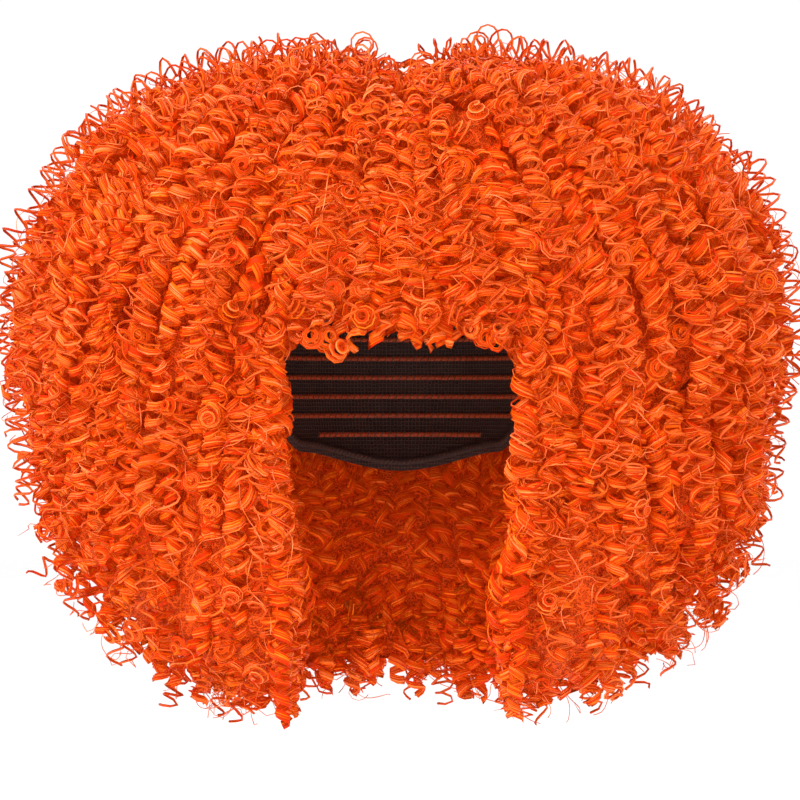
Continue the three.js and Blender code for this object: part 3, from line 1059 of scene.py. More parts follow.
class StrandTree:
    """The geometry tree that winds a band of fibres round each guide line."""

    SIDES = 3
    DEPTH_SCALE = 0.667
    WIDTH_SCALE = 0.577

    INPUTS = (
        ("Geometry", "NodeSocketGeometry"),
        ("Sections", "NodeSocketFloat"),
        ("Width", "NodeSocketFloat"),
        ("Thickness", "NodeSocketFloat"),
        ("Material", "NodeSocketMaterial"),
    )

    def __init__(self) -> None:
        """Builds the tree."""
        self.tree = bpy.data.node_groups.new("Wind strands", "GeometryNodeTree")
        for name, kind in self.INPUTS:
            self.tree.interface.new_socket(name, in_out="INPUT", socket_type=kind)
        self.tree.interface.new_socket("Geometry", in_out="OUTPUT", socket_type="NodeSocketGeometry")
        graph = Graph(self.tree)
        given = graph.add("NodeGroupInput").outputs
        wound = self.wound(graph, given)
        profile = self.profile(graph, given)
        mesh = graph.add(
            "GeometryNodeCurveToMesh",
            {"Curve": wound[0], "Profile Curve": profile[0], "Fill Caps": True},
        ).outputs[0]
        flat = graph.add("ShaderNodeCombineXYZ", {"X": profile[1], "Y": wound[1]}).outputs[0]
        mapped = graph.add(
            "GeometryNodeStoreNamedAttribute",
            {"Geometry": mesh, "Name": "UVMap", "Value": flat},
            data_type="FLOAT2",
            domain="CORNER",
        ).outputs[0]
        smooth = graph.add("GeometryNodeSetShadeSmooth", {"Geometry": mapped}).outputs[0]
        real = graph.add("GeometryNodeRealizeInstances", {"Geometry": smooth}).outputs[0]
        dressed = graph.add(
            "GeometryNodeSetMaterial", {"Geometry": real, "Material": given["Material"]}
        ).outputs[0]
        graph.add("NodeGroupOutput", {"Geometry": dressed})

    def wound(self, graph: Graph, given: object) -> tuple:
        """Winds the guide lines.

        Args:
            graph: The tree's builder.
            given: The group's inputs.

        Returns:
            The wound curves, and the length along each of them.
        """
        curve = graph.add("GeometryNodeMeshToCurve", {"Mesh": given["Geometry"]}).outputs[0]
        step = graph.math("DIVIDE", graph.named("pitch"), given["Sections"])
        even = graph.add(
            "GeometryNodeResampleCurve", {"Curve": curve, "Length": step}, mode="LENGTH"
        ).outputs[0]
        straight = graph.add("GeometryNodeSetCurveNormal", {"Curve": even}, mode="MINIMUM_TWIST")
        normal = graph.add("GeometryNodeInputNormal").outputs[0]
        tangent = graph.add("GeometryNodeInputTangent").outputs[0]
        across = graph.vector("CROSS_PRODUCT", tangent, normal)
        turn = graph.named("turn")
        radial = graph.vector(
            "ADD",
            graph.scaled(normal, graph.math("COSINE", turn)),
            graph.scaled(across, graph.math("SINE", turn)),
        )
        along = graph.add("GeometryNodeSplineParameter").outputs["Length"]
        held = graph.add("GeometryNodeCaptureAttribute", {"Geometry": straight.outputs[0]}, domain="POINT")
        held.capture_items.new("VECTOR", "Radial")
        held.capture_items.new("FLOAT", "Along")
        graph.tree.links.new(radial, held.inputs["Radial"])
        graph.tree.links.new(along, held.inputs["Along"])
        offset = graph.scaled(held.outputs["Radial"], graph.named("coil"))
        moved = graph.add(
            "GeometryNodeSetPosition", {"Geometry": held.outputs["Geometry"], "Offset": offset}
        ).outputs[0]
        facing = graph.add(
            "GeometryNodeSetCurveNormal", {"Curve": moved, "Normal": held.outputs["Radial"]}, mode="FREE"
        ).outputs[0]
        sized = graph.add("GeometryNodeSetCurveRadius", {"Curve": facing, "Radius": graph.named("body")})
        return sized.outputs[0], held.outputs["Along"]

    def profile(self, graph: Graph, given: object) -> tuple:
        """Makes the band's closed section, ridged on the side that faces out.

        Args:
            graph: The tree's builder.
            given: The group's inputs.

        Returns:
            The section's curve, and the place across it in widths.
        """
        circle = graph.add(
            "GeometryNodeCurvePrimitiveCircle", {"Resolution": self.SIDES, "Radius": 1.0}
        ).outputs[0]
        size = graph.add(
            "ShaderNodeCombineXYZ",
            {
                "X": graph.math("MULTIPLY", given["Thickness"], self.DEPTH_SCALE),
                "Y": graph.math("MULTIPLY", given["Width"], self.WIDTH_SCALE),
                "Z": 1.0,
            },
        ).outputs[0]
        flat = graph.add("GeometryNodeTransform", {"Geometry": circle, "Scale": size}).outputs[0]
        held = graph.add("GeometryNodeCaptureAttribute", {"Geometry": flat}, domain="POINT")
        held.capture_items.new("FLOAT", "Across")
        place = graph.add("GeometryNodeInputPosition").outputs[0]
        sideways = graph.add("ShaderNodeSeparateXYZ", {"Vector": place}).outputs["Y"]
        graph.tree.links.new(graph.math("DIVIDE", sideways, given["Width"]), held.inputs["Across"])
        return held.outputs["Geometry"], held.outputs["Across"]

    def make(
        self,
        guides: Guides,
        name: str,
        sections: float,
        width: float,
        thickness: float,
        material: bpy.types.Material,
    ) -> bpy.types.Object:
        """Runs the tree on a set of guides and keeps the result as a plain mesh.

        Args:
            guides: The locks.
            name: The piece's name.
            sections: Sections of the band in one turn.
            width: Full width of the band.
            thickness: Full thickness of the band.
            material: What it is made of.

        Returns:
            The piece.
        """
        source = guides.as_object(name + "_guides")
        modifier = source.modifiers.new("Strands", "NODES")
        modifier.node_group = self.tree
        values = {"Sections": sections, "Width": width, "Thickness": thickness, "Material": material}
        for item in self.tree.interface.items_tree:
            if item.in_out == "INPUT" and item.name in values:
                modifier[item.identifier] = values[item.name]
        graph = bpy.context.evaluated_depsgraph_get()
        mesh = bpy.data.meshes.new_from_object(source.evaluated_get(graph))
        mesh.name = name
        bpy.data.objects.remove(source)
        self.crease(mesh)
        piece = bpy.data.objects.new(name, mesh)
        bpy.context.scene.collection.objects.link(piece)
        return piece

    def crease(self, mesh: bpy.types.Mesh) -> None:
        """Keeps the edges that run along the strands sharp, and the rest smooth."""
        ends = np.empty(len(mesh.edges) * 2, np.int32)
        mesh.edges.foreach_get("vertices", ends)
        apart = np.abs(np.diff(ends.reshape(-1, 2), axis=1)[:, 0])
        sharp = mesh.attributes.get("sharp_edge") or mesh.attributes.new("sharp_edge", "BOOLEAN", "EDGE")
        sharp.data.foreach_set("value", apart == self.SIDES)


@dataclass(frozen=True)
class HairFinish:
    """Bright orange synthetic fibre, streaked along the strand, with painted highlights on the fibres and
    painted shade between them, at the band's edges and on deeper locks.

    Attributes:
        name: The material's name.
        light: Colour of the fibres that catch the light, a painted highlight, linear.
        middle: Colour between them.
        deep: Colour of the painted shade in the gaps and on the deepest locks.
        roughness: Mean roughness.
        relief: Height of the fibres in the bump.
        fibres: How many dark and light places lie across a band.
        edge: How much painted shade darkens the band towards its edges.
        glow: Colour of the painted glow that the fibres give off, which lifts their shade as light coming
            through them from behind would.
        glow_strength: Strength of that painted glow.
        sheen: Strength of the highlights.
        depth_shade_share: How much painted shade darkens a lock with its depth below the form.
        tint_share: How much it darkens with its own tint.
        fibre_gap_shade_share: How much painted shade darkens it in the gaps between two fibres.
    """

    name: str
    light: tuple[float, float, float]
    middle: tuple[float, float, float]
    deep: tuple[float, float, float]
    glow: tuple[float, float, float] = (1.0, 0.1, 0.003)
    roughness: float = 0.46
    relief: float = 1.0
    fibres: float = 8.5
    edge: float = 0.55
    glow_strength: float = 0.11
    sheen: float = 0.06
    depth_shade_share: float = 0.35
    tint_share: float = 0.3
    fibre_gap_shade_share: float = 0.85

    def build(self, streaks: bpy.types.NodeTree) -> bpy.types.Material:
        """Makes the material.

        Args:
            streaks: The shared group of fibre streaks.

        Returns:
            The material.
        """
        material = bpy.data.materials.new(self.name)
        material.use_nodes = True
        graph = Graph(material.node_tree)
        shader = material.node_tree.nodes["Principled BSDF"]
        tint = graph.add("ShaderNodeAttribute", attribute_name="tint").outputs["Fac"]
        depth = graph.add("ShaderNodeAttribute", attribute_name="depth").outputs["Fac"]
        surface = graph.add("ShaderNodeUVMap", uv_map="UVMap").outputs["UV"]
        fibre = graph.add("ShaderNodeGroup", node_tree=streaks)
        graph.tree.links.new(surface, fibre.inputs["Surface"])
        graph.tree.links.new(tint, fibre.inputs["Lock"])
        fibre.inputs["Across"].default_value = self.fibres
        fibre.inputs["Edge Shade"].default_value = self.edge
        streak = fibre.outputs["Streak"]
        # Painted shade: deeper locks are coloured darker.
        painted_depth_shade = graph.math("MULTIPLY", depth, self.depth_shade_share)
        share = graph.math("ADD", painted_depth_shade, graph.math("MULTIPLY", tint, self.tint_share))
        # Painted shade in the gaps between fibres; the streak is also partly the fibres' own random tone.
        between = graph.math("SUBTRACT", 1.0, streak)
        share = graph.math("ADD", share, graph.math("MULTIPLY", between, self.fibre_gap_shade_share))
        ramp = graph.add("ShaderNodeValToRGB", {"Fac": share})
        ramp.color_ramp.elements[0].position = 0.1
        ramp.color_ramp.elements[0].color = (*self.light, 1.0)
        ramp.color_ramp.elements[1].position = 1.15
        ramp.color_ramp.elements[1].color = (*self.deep, 1.0)
        ramp.color_ramp.elements.new(0.5).color = (*self.middle, 1.0)
        graph.tree.links.new(ramp.outputs["Color"], shader.inputs["Base Color"])
        rough = graph.math("ADD", graph.math("MULTIPLY", streak, -0.12), self.roughness + 0.06)
        graph.tree.links.new(rough, shader.inputs["Roughness"])
        bump = graph.add("ShaderNodeBump", {"Strength": self.relief, "Distance": 0.8 * MM, "Height": streak})
        graph.tree.links.new(bump.outputs["Normal"], shader.inputs["Normal"])
        shader.inputs["Specular IOR Level"].default_value = self.sheen
        # Painted glow: the fibres give off faint light of their own, though they are no lamp.
        shader.inputs["Emission Color"].default_value = (*self.glow, 1.0)
        shader.inputs["Emission Strength"].default_value = self.glow_strength
        return material


@dataclass(frozen=True)
class MattedFinish:
    """Matted curls under the ringlets, drawn as swirls of fibres and coloured dark as painted shade.

    Attributes:
        name: The material's name.
        light: Colour of the fibres, linear.
        deep: Colour of the painted shade in the gaps.
        glow: Colour of the painted glow that the fibres give off, which lifts their shade.
        glow_strength: Strength of that painted glow.
        sheen: Strength of the highlights.
        relief: Height of the fibres in the bump.
        swirls: Size of the swirls and scale of their bends, for each set of fibres.
        fibre_share: How much the fibres lighten the colour.
        cloud_share: How much slow changes lighten it.
    """

    name: str
    light: tuple[float, float, float]
    deep: tuple[float, float, float]
    glow: tuple[float, float, float] = (1.0, 0.07, 0.002)
    glow_strength: float = 0.07
    sheen: float = 0.06
    relief: float = 1.0
    swirls: tuple[tuple[float, float], ...] = ((3.2 * MM, 48.0), (2.2 * MM, 95.0))
    fibre_share: float = 0.5
    cloud_share: float = 0.75

    def build(self) -> bpy.types.Material:
        """Makes the material.

        Returns:
            The material.
        """
        material = bpy.data.materials.new(self.name)
        material.use_nodes = True
        graph = Graph(material.node_tree)
        shader = material.node_tree.nodes["Principled BSDF"]
        place = graph.add("ShaderNodeTexCoord").outputs["Object"]
        fibres = None
        for size, bend in self.swirls:
            swirl = graph.add("ShaderNodeTexNoise", {"Vector": place, "Scale": bend, "Detail": 1.0})
            bent = graph.vector("ADD", place, graph.scaled(swirl.outputs["Color"], 1.6 / bend))
            cells = graph.add(
                "ShaderNodeTexVoronoi", {"Vector": bent, "Scale": 1 / size}, feature="DISTANCE_TO_EDGE"
            )
            line = graph.add(
                "ShaderNodeMapRange",
                {"Value": cells.outputs["Distance"], "From Min": 0.16, "From Max": 0.02},
                interpolation_type="SMOOTHSTEP",
            ).outputs["Result"]
            fibres = line if fibres is None else graph.math("MAXIMUM", fibres, line)
        cloud = graph.add("ShaderNodeTexNoise", {"Vector": place, "Scale": 260.0, "Detail": 2.0})
        lit = graph.math("MULTIPLY", fibres, self.fibre_share)
        share = graph.math("ADD", lit, graph.math("MULTIPLY", cloud.outputs["Fac"], self.cloud_share))
        # Painted shade: the gaps between the fibres take the deep colour.
        ramp = graph.add("ShaderNodeValToRGB", {"Fac": share})
        ramp.color_ramp.elements[0].position = 0.22
        ramp.color_ramp.elements[0].color = (*self.deep, 1.0)
        ramp.color_ramp.elements[1].position = 0.85
        ramp.color_ramp.elements[1].color = (*self.light, 1.0)
        graph.tree.links.new(ramp.outputs["Color"], shader.inputs["Base Color"])
        bump = graph.add("ShaderNodeBump", {"Strength": self.relief, "Distance": 1.5 * MM, "Height": share})
        graph.tree.links.new(bump.outputs["Normal"], shader.inputs["Normal"])
        shader.inputs["Roughness"].default_value = 0.6
        shader.inputs["Specular IOR Level"].default_value = self.sheen
        # Painted glow: the fibres give off faint light of their own, though they are no lamp.
        shader.inputs["Emission Color"].default_value = (*self.glow, 1.0)
        shader.inputs["Emission Strength"].default_value = self.glow_strength
        return material


def streak_group() -> bpy.types.NodeTree:
    """Builds the shared group that draws fibres along a strand, with painted shade towards the band's edges.
    """
    tree = bpy.data.node_groups.new("Fibre streaks", "ShaderNodeTree")
    tree.interface.new_socket("Surface", in_out="INPUT", socket_type="NodeSocketVector")
    tree.interface.new_socket("Across", in_out="INPUT", socket_type="NodeSocketFloat")
    tree.interface.new_socket("Lock", in_out="INPUT", socket_type="NodeSocketFloat")
    tree.interface.new_socket("Edge Shade", in_out="INPUT", socket_type="NodeSocketFloat")
    tree.interface.new_socket("Streak", in_out="OUTPUT", socket_type="NodeSocketFloat")
    graph = Graph(tree)
    given = graph.add("NodeGroupInput").outputs
    parts = graph.add("ShaderNodeSeparateXYZ", {"Vector": given["Surface"]}).outputs
    across = graph.math("MULTIPLY", parts["X"], given["Across"])
    along = graph.math("MULTIPLY", parts["Y"], 60.0)
    far = graph.math("MULTIPLY", given["Lock"], 70.0)
    place = graph.add("ShaderNodeCombineXYZ", {"X": across, "Y": along, "Z": far}).outputs[0]
    noise = graph.add("ShaderNodeTexNoise", {"Vector": place, "Scale": 1.0, "Detail": 1.5, "Roughness": 0.6})
    clear = graph.add(
        "ShaderNodeMapRange",
        {"Value": noise.outputs["Fac"], "From Min": 0.38, "From Max": 0.62},
        interpolation_type="SMOOTHSTEP",
    ).outputs["Result"]
    # Painted shade: the band is darkened towards both of its edges.
    side = graph.add(
        "ShaderNodeMapRange",
        {"Value": graph.math("ABSOLUTE", parts["X"]), "From Min": 0.2, "From Max": 0.5},
        interpolation_type="SMOOTHSTEP",
    ).outputs["Result"]
    edge_shade = graph.math("SUBTRACT", 1.0, graph.math("MULTIPLY", side, given["Edge Shade"]))
    graph.add("NodeGroupOutput", {"Streak": graph.math("MULTIPLY", clear, edge_shade)})
    return tree


@dataclass
class Studio:
    """The camera, the lights, the pale floor and the white surroundings.

    Attributes:
        distance: From the camera to the middle of the wig.
        eye_height: The camera's height, which looks level.
        lens: Focal length for a sensor 36 mm wide.
        floor_height: Height of the floor.
        floor_shade: How pale the floor is, from 0 to 1.
        brightness: Strength of the white all round.
    """

    distance: float = 1.7
    eye_height: float = -0.121
    lens: float = 138.6
    floor_height: float = -0.62
    floor_shade: float = 0.93
    brightness: float = 1.05

    def build(self) -> None:
        """Makes everything that isn't part of the wig."""
        scene = bpy.context.scene
        camera = bpy.data.cameras.new("camera")
        camera.lens = self.lens
        camera.sensor_width = 36.0
        eye = bpy.data.objects.new("camera", camera)
        eye.location = (0.0, -self.distance, self.eye_height)
        eye.rotation_euler = (math.pi / 2, 0.0, 0.0)
        scene.collection.objects.link(eye)
        scene.camera = eye
        self.light("key", (-1.05, -1.85, 1.4), size=1.2, power=79.0)
        self.light("fill", (1.4, -1.6, 0.3), size=1.4, power=5.0)
        self.light("rim", (0.3, 1.8, 1.4), size=1.4, power=40.0)
        self.surroundings()
        self.floor()
        scene.view_settings.view_transform = "Standard"
        scene.cycles.max_bounces = 12
        scene.cycles.diffuse_bounces = 8

    def light(self, name: str, place: tuple[float, float, float], size: float, power: float) -> None:
        """Adds a soft lamp that faces the wig.

        Args:
            name: The lamp's name.
            place: Where it stands.
            size: Its side.
            power: Its power in watts.
        """
        lamp = bpy.data.lights.new(name, "AREA")
        lamp.size = size
        lamp.energy = power
        stand = bpy.data.objects.new(name, lamp)
        stand.location = place
        aim = Vector((0.0, 0.0, self.eye_height)) - Vector(place)
        stand.rotation_euler = aim.to_track_quat("-Z", "Y").to_euler()
        bpy.context.scene.collection.objects.link(stand)

    def surroundings(self) -> None:
        """Makes the world an even white."""
        world = bpy.data.worlds.new("white")
        world.use_nodes = True
        background = world.node_tree.nodes["Background"]
        background.inputs["Color"].default_value = (1.0, 1.0, 1.0, 1.0)
        background.inputs["Strength"].default_value = self.brightness
        bpy.context.scene.world = world

    def floor(self) -> None:
        """Makes the pale floor."""
        mesh = bpy.data.meshes.new("floor")
        grid = bmesh.new()
        bmesh.ops.create_circle(grid, cap_ends=True, segments=96, radius=8.0)
        bmesh.ops.translate(grid, verts=grid.verts, vec=(0.0, 0.0, self.floor_height))
        grid.to_mesh(mesh)
        grid.free()
        plate = bpy.data.objects.new("floor", mesh)
        bpy.context.scene.collection.objects.link(plate)
        paint = bpy.data.materials.new("pale_floor")
        paint.use_nodes = True
        shader = paint.node_tree.nodes["Principled BSDF"]
        shade = self.floor_shade
        shader.inputs["Base Color"].default_value = (shade, shade, shade, 1.0)
        shader.inputs["Roughness"].default_value = 0.9
        mesh.materials.append(paint)


@dataclass
class InnerMass:
    """The body of matted curls under the ringlets of one section.

    Attributes:
        form: The hair's outer form.
        head: The space that stays free.
        material: What it is made of.
        cover: How deep it lies below the form.
        voxel: Size of its mesh.
    """

    form: HairForm
    head: HeadSpace
    material: bpy.types.Material
    cover: float = 21 * MM
    voxel: float = 7.5 * MM

    def build(self, section: Section) -> bpy.types.Object:
        """Makes the mass that stands for a section's solid.

        Args:
            section: The section.

        Returns:
            The piece.
        """
        name = section.value.replace("_hair", "") + "_mass"
        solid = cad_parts[section.value]
        mesh = bpy.data.meshes.new(name)
        work = bmesh.new()
        work.from_mesh(solid.data)
        bmesh.ops.remove_doubles(work, verts=work.verts, dist=0.01 * MM)
        work.to_mesh(mesh)
        work.free()
        piece = bpy.data.objects.new(name, mesh)
        bpy.context.scene.collection.objects.link(piece)
        remesh = piece.modifiers.new("Remesh", "REMESH")
        remesh.mode = "VOXEL"
        remesh.voxel_size = self.voxel
        graph = bpy.context.evaluated_depsgraph_get()
        fine = bpy.data.meshes.new_from_object(piece.evaluated_get(graph))
        piece.modifiers.clear()
        piece.data = fine
        fine.name = name
        points = np.empty(len(fine.vertices) * 3, np.float32)
        fine.vertices.foreach_get("co", points)
        points = points.reshape(-1, 3).astype(float)
        lumps = np.sin(points * 900.0).sum(axis=1) + np.sin(points @ np.array([520.0, 610.0, 470.0]))
        wanted = self.cover + 2.2 * MM * lumps / 2
        depth = self.form.depth(points)
        centre = np.array([0.0, 0.0, self.form.centre_height])
        offset = points - centre
        reach = np.linalg.norm(offset, axis=1)
        short = np.maximum(wanted - depth, 0.0)
        points = centre + offset * ((reach - short) / reach)[:, None]
        behind = 1.5 * MM + 11 * MM * smoothstep(-70 * MM, -125 * MM, points[:, 2])
        points = self.head.push_out(points, behind)
        if section is Section.FRINGE:
            hem = -76 * MM
            points[:, 2] = np.where(points[:, 2] < hem, hem + (points[:, 2] - hem) * 0.25, points[:, 2])
        fine.vertices.foreach_set("co", points.astype(np.float32).ravel())
        fine.materials.clear()
        fine.materials.append(self.material)
        for polygon in fine.polygons:
            polygon.use_smooth = True
        return piece


@dataclass(frozen=True)
class NetFinish:
    """Dark stretch net, knitted in small hexagons.

    Attributes:
        name: The material's name.
        thread: Colour of the threads, linear.
        ground: Colour between them.
        cell: Size of one hexagon.
    """

    name: str
    thread: tuple[float, float, float]
    ground: tuple[float, float, float]
    cell: float = 2.2 * MM

    def build(self) -> bpy.types.Material:
        """Makes the material.

        Returns:
            The material.
        """
        material = bpy.data.materials.new(self.name)
        material.use_nodes = True
        graph = Graph(material.node_tree)
        shader = material.node_tree.nodes["Principled BSDF"]
        surface = graph.add("ShaderNodeUVMap", uv_map="UVMap").outputs["UV"]
        cells = graph.add(
            "ShaderNodeTexVoronoi",
            {"Vector": surface, "Scale": 1 / self.cell, "Randomness": 0.25},
            feature="DISTANCE_TO_EDGE",
            voronoi_dimensions="2D",
        )
        net = graph.add(
            "ShaderNodeMapRange", {"Value": cells.outputs["Distance"], "From Min": 0.06, "From Max": 0.22}
        ).outputs["Result"]
        wear = graph.add("ShaderNodeTexNoise", {"Vector": surface, "Scale": 60.0, "Detail": 3.0})
        mix = graph.add("ShaderNodeMix", {"Factor": net}, data_type="RGBA")
        mix.inputs["A"].default_value = (*self.thread, 1.0)
        mix.inputs["B"].default_value = (*self.ground, 1.0)
        shade = graph.add("ShaderNodeHueSaturation", {"Color": mix.outputs["Result"]})
        graph.tree.links.new(graph.math("ADD", wear.outputs["Fac"], 0.5), shade.inputs["Value"])
        graph.tree.links.new(shade.outputs["Color"], shader.inputs["Base Color"])
        height = graph.math("SUBTRACT", 1.0, net)
        bump = graph.add("ShaderNodeBump", {"Strength": 0.9, "Distance": 0.4 * MM, "Height": height})
        graph.tree.links.new(bump.outputs["Normal"], shader.inputs["Normal"])
        shader.inputs["Roughness"].default_value = 0.75
        return material


EDGE_ROWS = ((0, 0.385), (30, 0.43), (52, 0.56), (78, 0.72), (104, 0.76), (135, 0.93), (180, 1.0))


@dataclass
class NetCap:
    """The stretch cap that the hair is sewn to, with a hem folded outwards.

    Attributes:
        half_width: Half width of its inside.
        half_length: Half length of its inside.
        crown_height: From the crown down to the widest level.
        depth: From the crown down to the edge at the nape.
        wall: Thickness.
        hem_height: Height of the folded hem.
        hem_fold: How much the hem adds to the wall.
        fullness: Exponent of the upright outline.
        nape_taper: Share that it draws in by, down to the nape.
        segments: Segments round it.
        rows: Rows from the crown to the hem.
    """

    half_width: float = 76 * MM
    half_length: float = 96 * MM
    crown_height: float = 106 * MM
    depth: float = 162 * MM
    wall: float = 2 * MM
    hem_height: float = 9 * MM
    hem_fold: float = 1 * MM
    fullness: float = 2.25
    nape_taper: float = 0.14
    segments: int = 128
    rows: int = 30

    def edge(self, azimuth: float) -> float:
        """Gives how deep the edge runs at an azimuth in radians from the face."""
        turn = abs(math.degrees(azimuth)) % 360
        turn = min(turn, 360 - turn)
        for (start, low), (end, high) in zip(EDGE_ROWS, EDGE_ROWS[1:]):
            if turn <= end:
                return self.depth * (low + (high - low) * float(smoothstep(start, end, turn)))
        return self.depth

    def place(self, azimuth: float, depth: float, offset: float) -> tuple[float, float, float]:
        """Gives a point of the cap.

        Args:
            azimuth: Radians from the face towards the wearer's left.
            depth: How far below the crown.
            offset: How far outside the inner surface.

        Returns:
            The position.
        """
        height = self.crown_height + offset
        level = min(depth + offset, height) / height
        below = max(0.0, depth - self.crown_height) / (self.depth - self.crown_height)
        swell = (1 - (1 - level) ** self.fullness) ** (1 / self.fullness) - self.nape_taper * below**2
        across = math.sin(azimuth) / (self.half_width + offset)
        forth = math.cos(azimuth) / (self.half_length + offset)
        radius = swell / math.hypot(across, forth)
        return radius * math.sin(azimuth), -radius * math.cos(azimuth), -depth

    def build(self, material: bpy.types.Material) -> bpy.types.Object:
        """Makes the shell with its hem.

        Args:
            material: What it is made of.

        Returns:
            The piece.
        """
        shares = [(row / self.rows) ** 1.6 for row in range(1, self.rows + 1)]
        outside = [(share, 0.0, self.wall) for share in shares]
        outside += [(1.0, 0.15, self.wall + self.hem_fold), (1.0, 0.5, self.wall + self.hem_fold * 1.1)]
        outside += [(1.0, 0.85, self.wall + self.hem_fold), (1.0, 1.0, self.wall)]
        inside = [(share, 0.0, 0.0) for share in shares] + [(1.0, 0.5, 0.0), (1.0, 1.0, 0.0)]
        work = bmesh.new()
        layer = work.loops.layers.uv.new("UVMap")
        turns = [2 * math.pi * step / self.segments for step in range(self.segments)]
        rings, depths = [], []
        for share, hem, offset in outside + inside[::-1]:
            ring, down = [], []
            for turn in turns:
                top = self.edge(turn) - self.hem_height
                deep = share * top + hem * self.hem_height
                ring.append(work.verts.new(self.place(turn, deep, offset)))
                down.append(deep)
            rings.append(ring)
            depths.append(down)
        crown = work.verts.new((0.0, 0.0, self.wall))
        seat = work.verts.new((0.0, 0.0, 0.0))
        size = 2 * math.pi * self.half_length / self.segments
        for row in range(len(rings) - 1):
            for step in range(self.segments):
                ahead = (step + 1) % self.segments
                corners = (
                    (row, step, step),
                    (row + 1, step, step),
                    (row + 1, ahead, step + 1),
                    (row, ahead, step + 1),
                )
                face = work.faces.new([rings[r][c] for r, c, _ in corners])
                for loop, (r, c, column) in zip(face.loops, corners):
                    loop[layer].uv = (column * size, depths[r][c])
        for step in range(self.segments):
            ahead = (step + 1) % self.segments
            for tip, ring, row in ((crown, rings[0], 0), (seat, rings[-1], -1)):
                order = [tip, ring[step], ring[ahead]] if row == 0 else [tip, ring[ahead], ring[step]]
                face = work.faces.new(order)
                for loop in face.loops:
                    spot = loop.vert.co
                    loop[layer].uv = (spot.x, spot.y)
        bmesh.ops.recalc_face_normals(work, faces=work.faces)
        mesh = bpy.data.meshes.new("net_cap")
        work.to_mesh(mesh)
        work.free()
        mesh.materials.append(material)
        for polygon in mesh.polygons:
            polygon.use_smooth = True
        piece = bpy.data.objects.new("net_cap", mesh)
        bpy.context.scene.collection.objects.link(piece)
        return piece


class SewnRowTree:
    """The geometry tree that lays a tape with stitches along each guide line."""

    INPUTS = (
        ("Geometry", "NodeSocketGeometry"),
        ("Tape Width", "NodeSocketFloat"),
        ("Tape Thickness", "NodeSocketFloat"),
        ("Stitch Gap", "NodeSocketFloat"),
        ("Stitch Length", "NodeSocketFloat"),
        ("Stitch Radius", "NodeSocketFloat"),
        ("Stitch Lean", "NodeSocketFloat"),
        ("Tape Material", "NodeSocketMaterial"),
        ("Thread Material", "NodeSocketMaterial"),
    )

    def __init__(self) -> None:
        """Builds the tree."""
        self.tree = bpy.data.node_groups.new("Sewn rows", "GeometryNodeTree")
        for name, kind in self.INPUTS:
            self.tree.interface.new_socket(name, in_out="INPUT", socket_type=kind)
        self.tree.interface.new_socket("Geometry", in_out="OUTPUT", socket_type="NodeSocketGeometry")
        graph = Graph(self.tree)
        given = graph.add("NodeGroupInput").outputs
        curve = graph.add("GeometryNodeMeshToCurve", {"Mesh": given["Geometry"]}).outputs[0]
        upright = graph.add("GeometryNodeSetCurveNormal", {"Curve": curve}, mode="Z_UP").outputs[0]
        section = graph.add(
            "GeometryNodeCurvePrimitiveQuadrilateral",
            {"Width": given["Tape Thickness"], "Height": given["Tape Width"]},
        ).outputs[0]
        tape = graph.add(
            "GeometryNodeCurveToMesh", {"Curve": upright, "Profile Curve": section, "Fill Caps": True}
        ).outputs[0]
        taped = graph.add(
            "GeometryNodeSetMaterial", {"Geometry": tape, "Material": given["Tape Material"]}
        ).outputs[0]
        spots = graph.add(
            "GeometryNodeCurveToPoints", {"Curve": upright, "Length": given["Stitch Gap"]}, mode="LENGTH"
        )
        thread = graph.add(
            "GeometryNodeMeshCylinder",
            {"Vertices": 5, "Radius": given["Stitch Radius"], "Depth": given["Stitch Length"]},
        ).outputs[0]
        tilt = graph.add("ShaderNodeCombineXYZ", {"X": given["Stitch Lean"]}).outputs[0]
        laid = graph.add("GeometryNodeTransform", {"Geometry": thread, "Rotation": tilt}).outputs[0]
        stitches = graph.add(
            "GeometryNodeInstanceOnPoints",
            {"Points": spots.outputs["Points"], "Instance": laid, "Rotation": spots.outputs["Rotation"]},
        ).outputs[0]
        real = graph.add("GeometryNodeRealizeInstances", {"Geometry": stitches}).outputs[0]
        sewn = graph.add(
            "GeometryNodeSetMaterial", {"Geometry": real, "Material": given["Thread Material"]}
        ).outputs[0]
        both = graph.add("GeometryNodeJoinGeometry")
        graph.tree.links.new(taped, both.inputs[0])
        graph.tree.links.new(sewn, both.inputs[0])
        graph.add("NodeGroupOutput", {"Geometry": both.outputs[0]})

    def make(self, rows: list, name: str, sizes: dict) -> bpy.types.Object:
        """Runs the tree on a set of rows and keeps the result as a plain mesh.

        Args:
            rows: Lists of positions, one list for each row.
            name: The piece's name.
            sizes: Values by input name.

        Returns:
            The piece.
        """
        points = [point for row in rows for point in row]
        edges, start = [], 0
        for row in rows:
            edges += [(start + step, start + step + 1) for step in range(len(row) - 1)]
            start += len(row)
        mesh = bpy.data.meshes.new(name + "_guides")
        mesh.from_pydata(points, edges, [])
        source = bpy.data.objects.new(name + "_guides", mesh)
        bpy.context.scene.collection.objects.link(source)
        modifier = source.modifiers.new("Rows", "NODES")
        modifier.node_group = self.tree
        for item in self.tree.interface.items_tree:
            if item.in_out == "INPUT" and item.name in sizes:
                modifier[item.identifier] = sizes[item.name]
        graph = bpy.context.evaluated_depsgraph_get()
        plain = bpy.data.meshes.new_from_object(source.evaluated_get(graph))
        plain.name = name
        bpy.data.objects.remove(source)
        piece = bpy.data.objects.new(name, plain)
        bpy.context.scene.collection.objects.link(piece)
        return piece


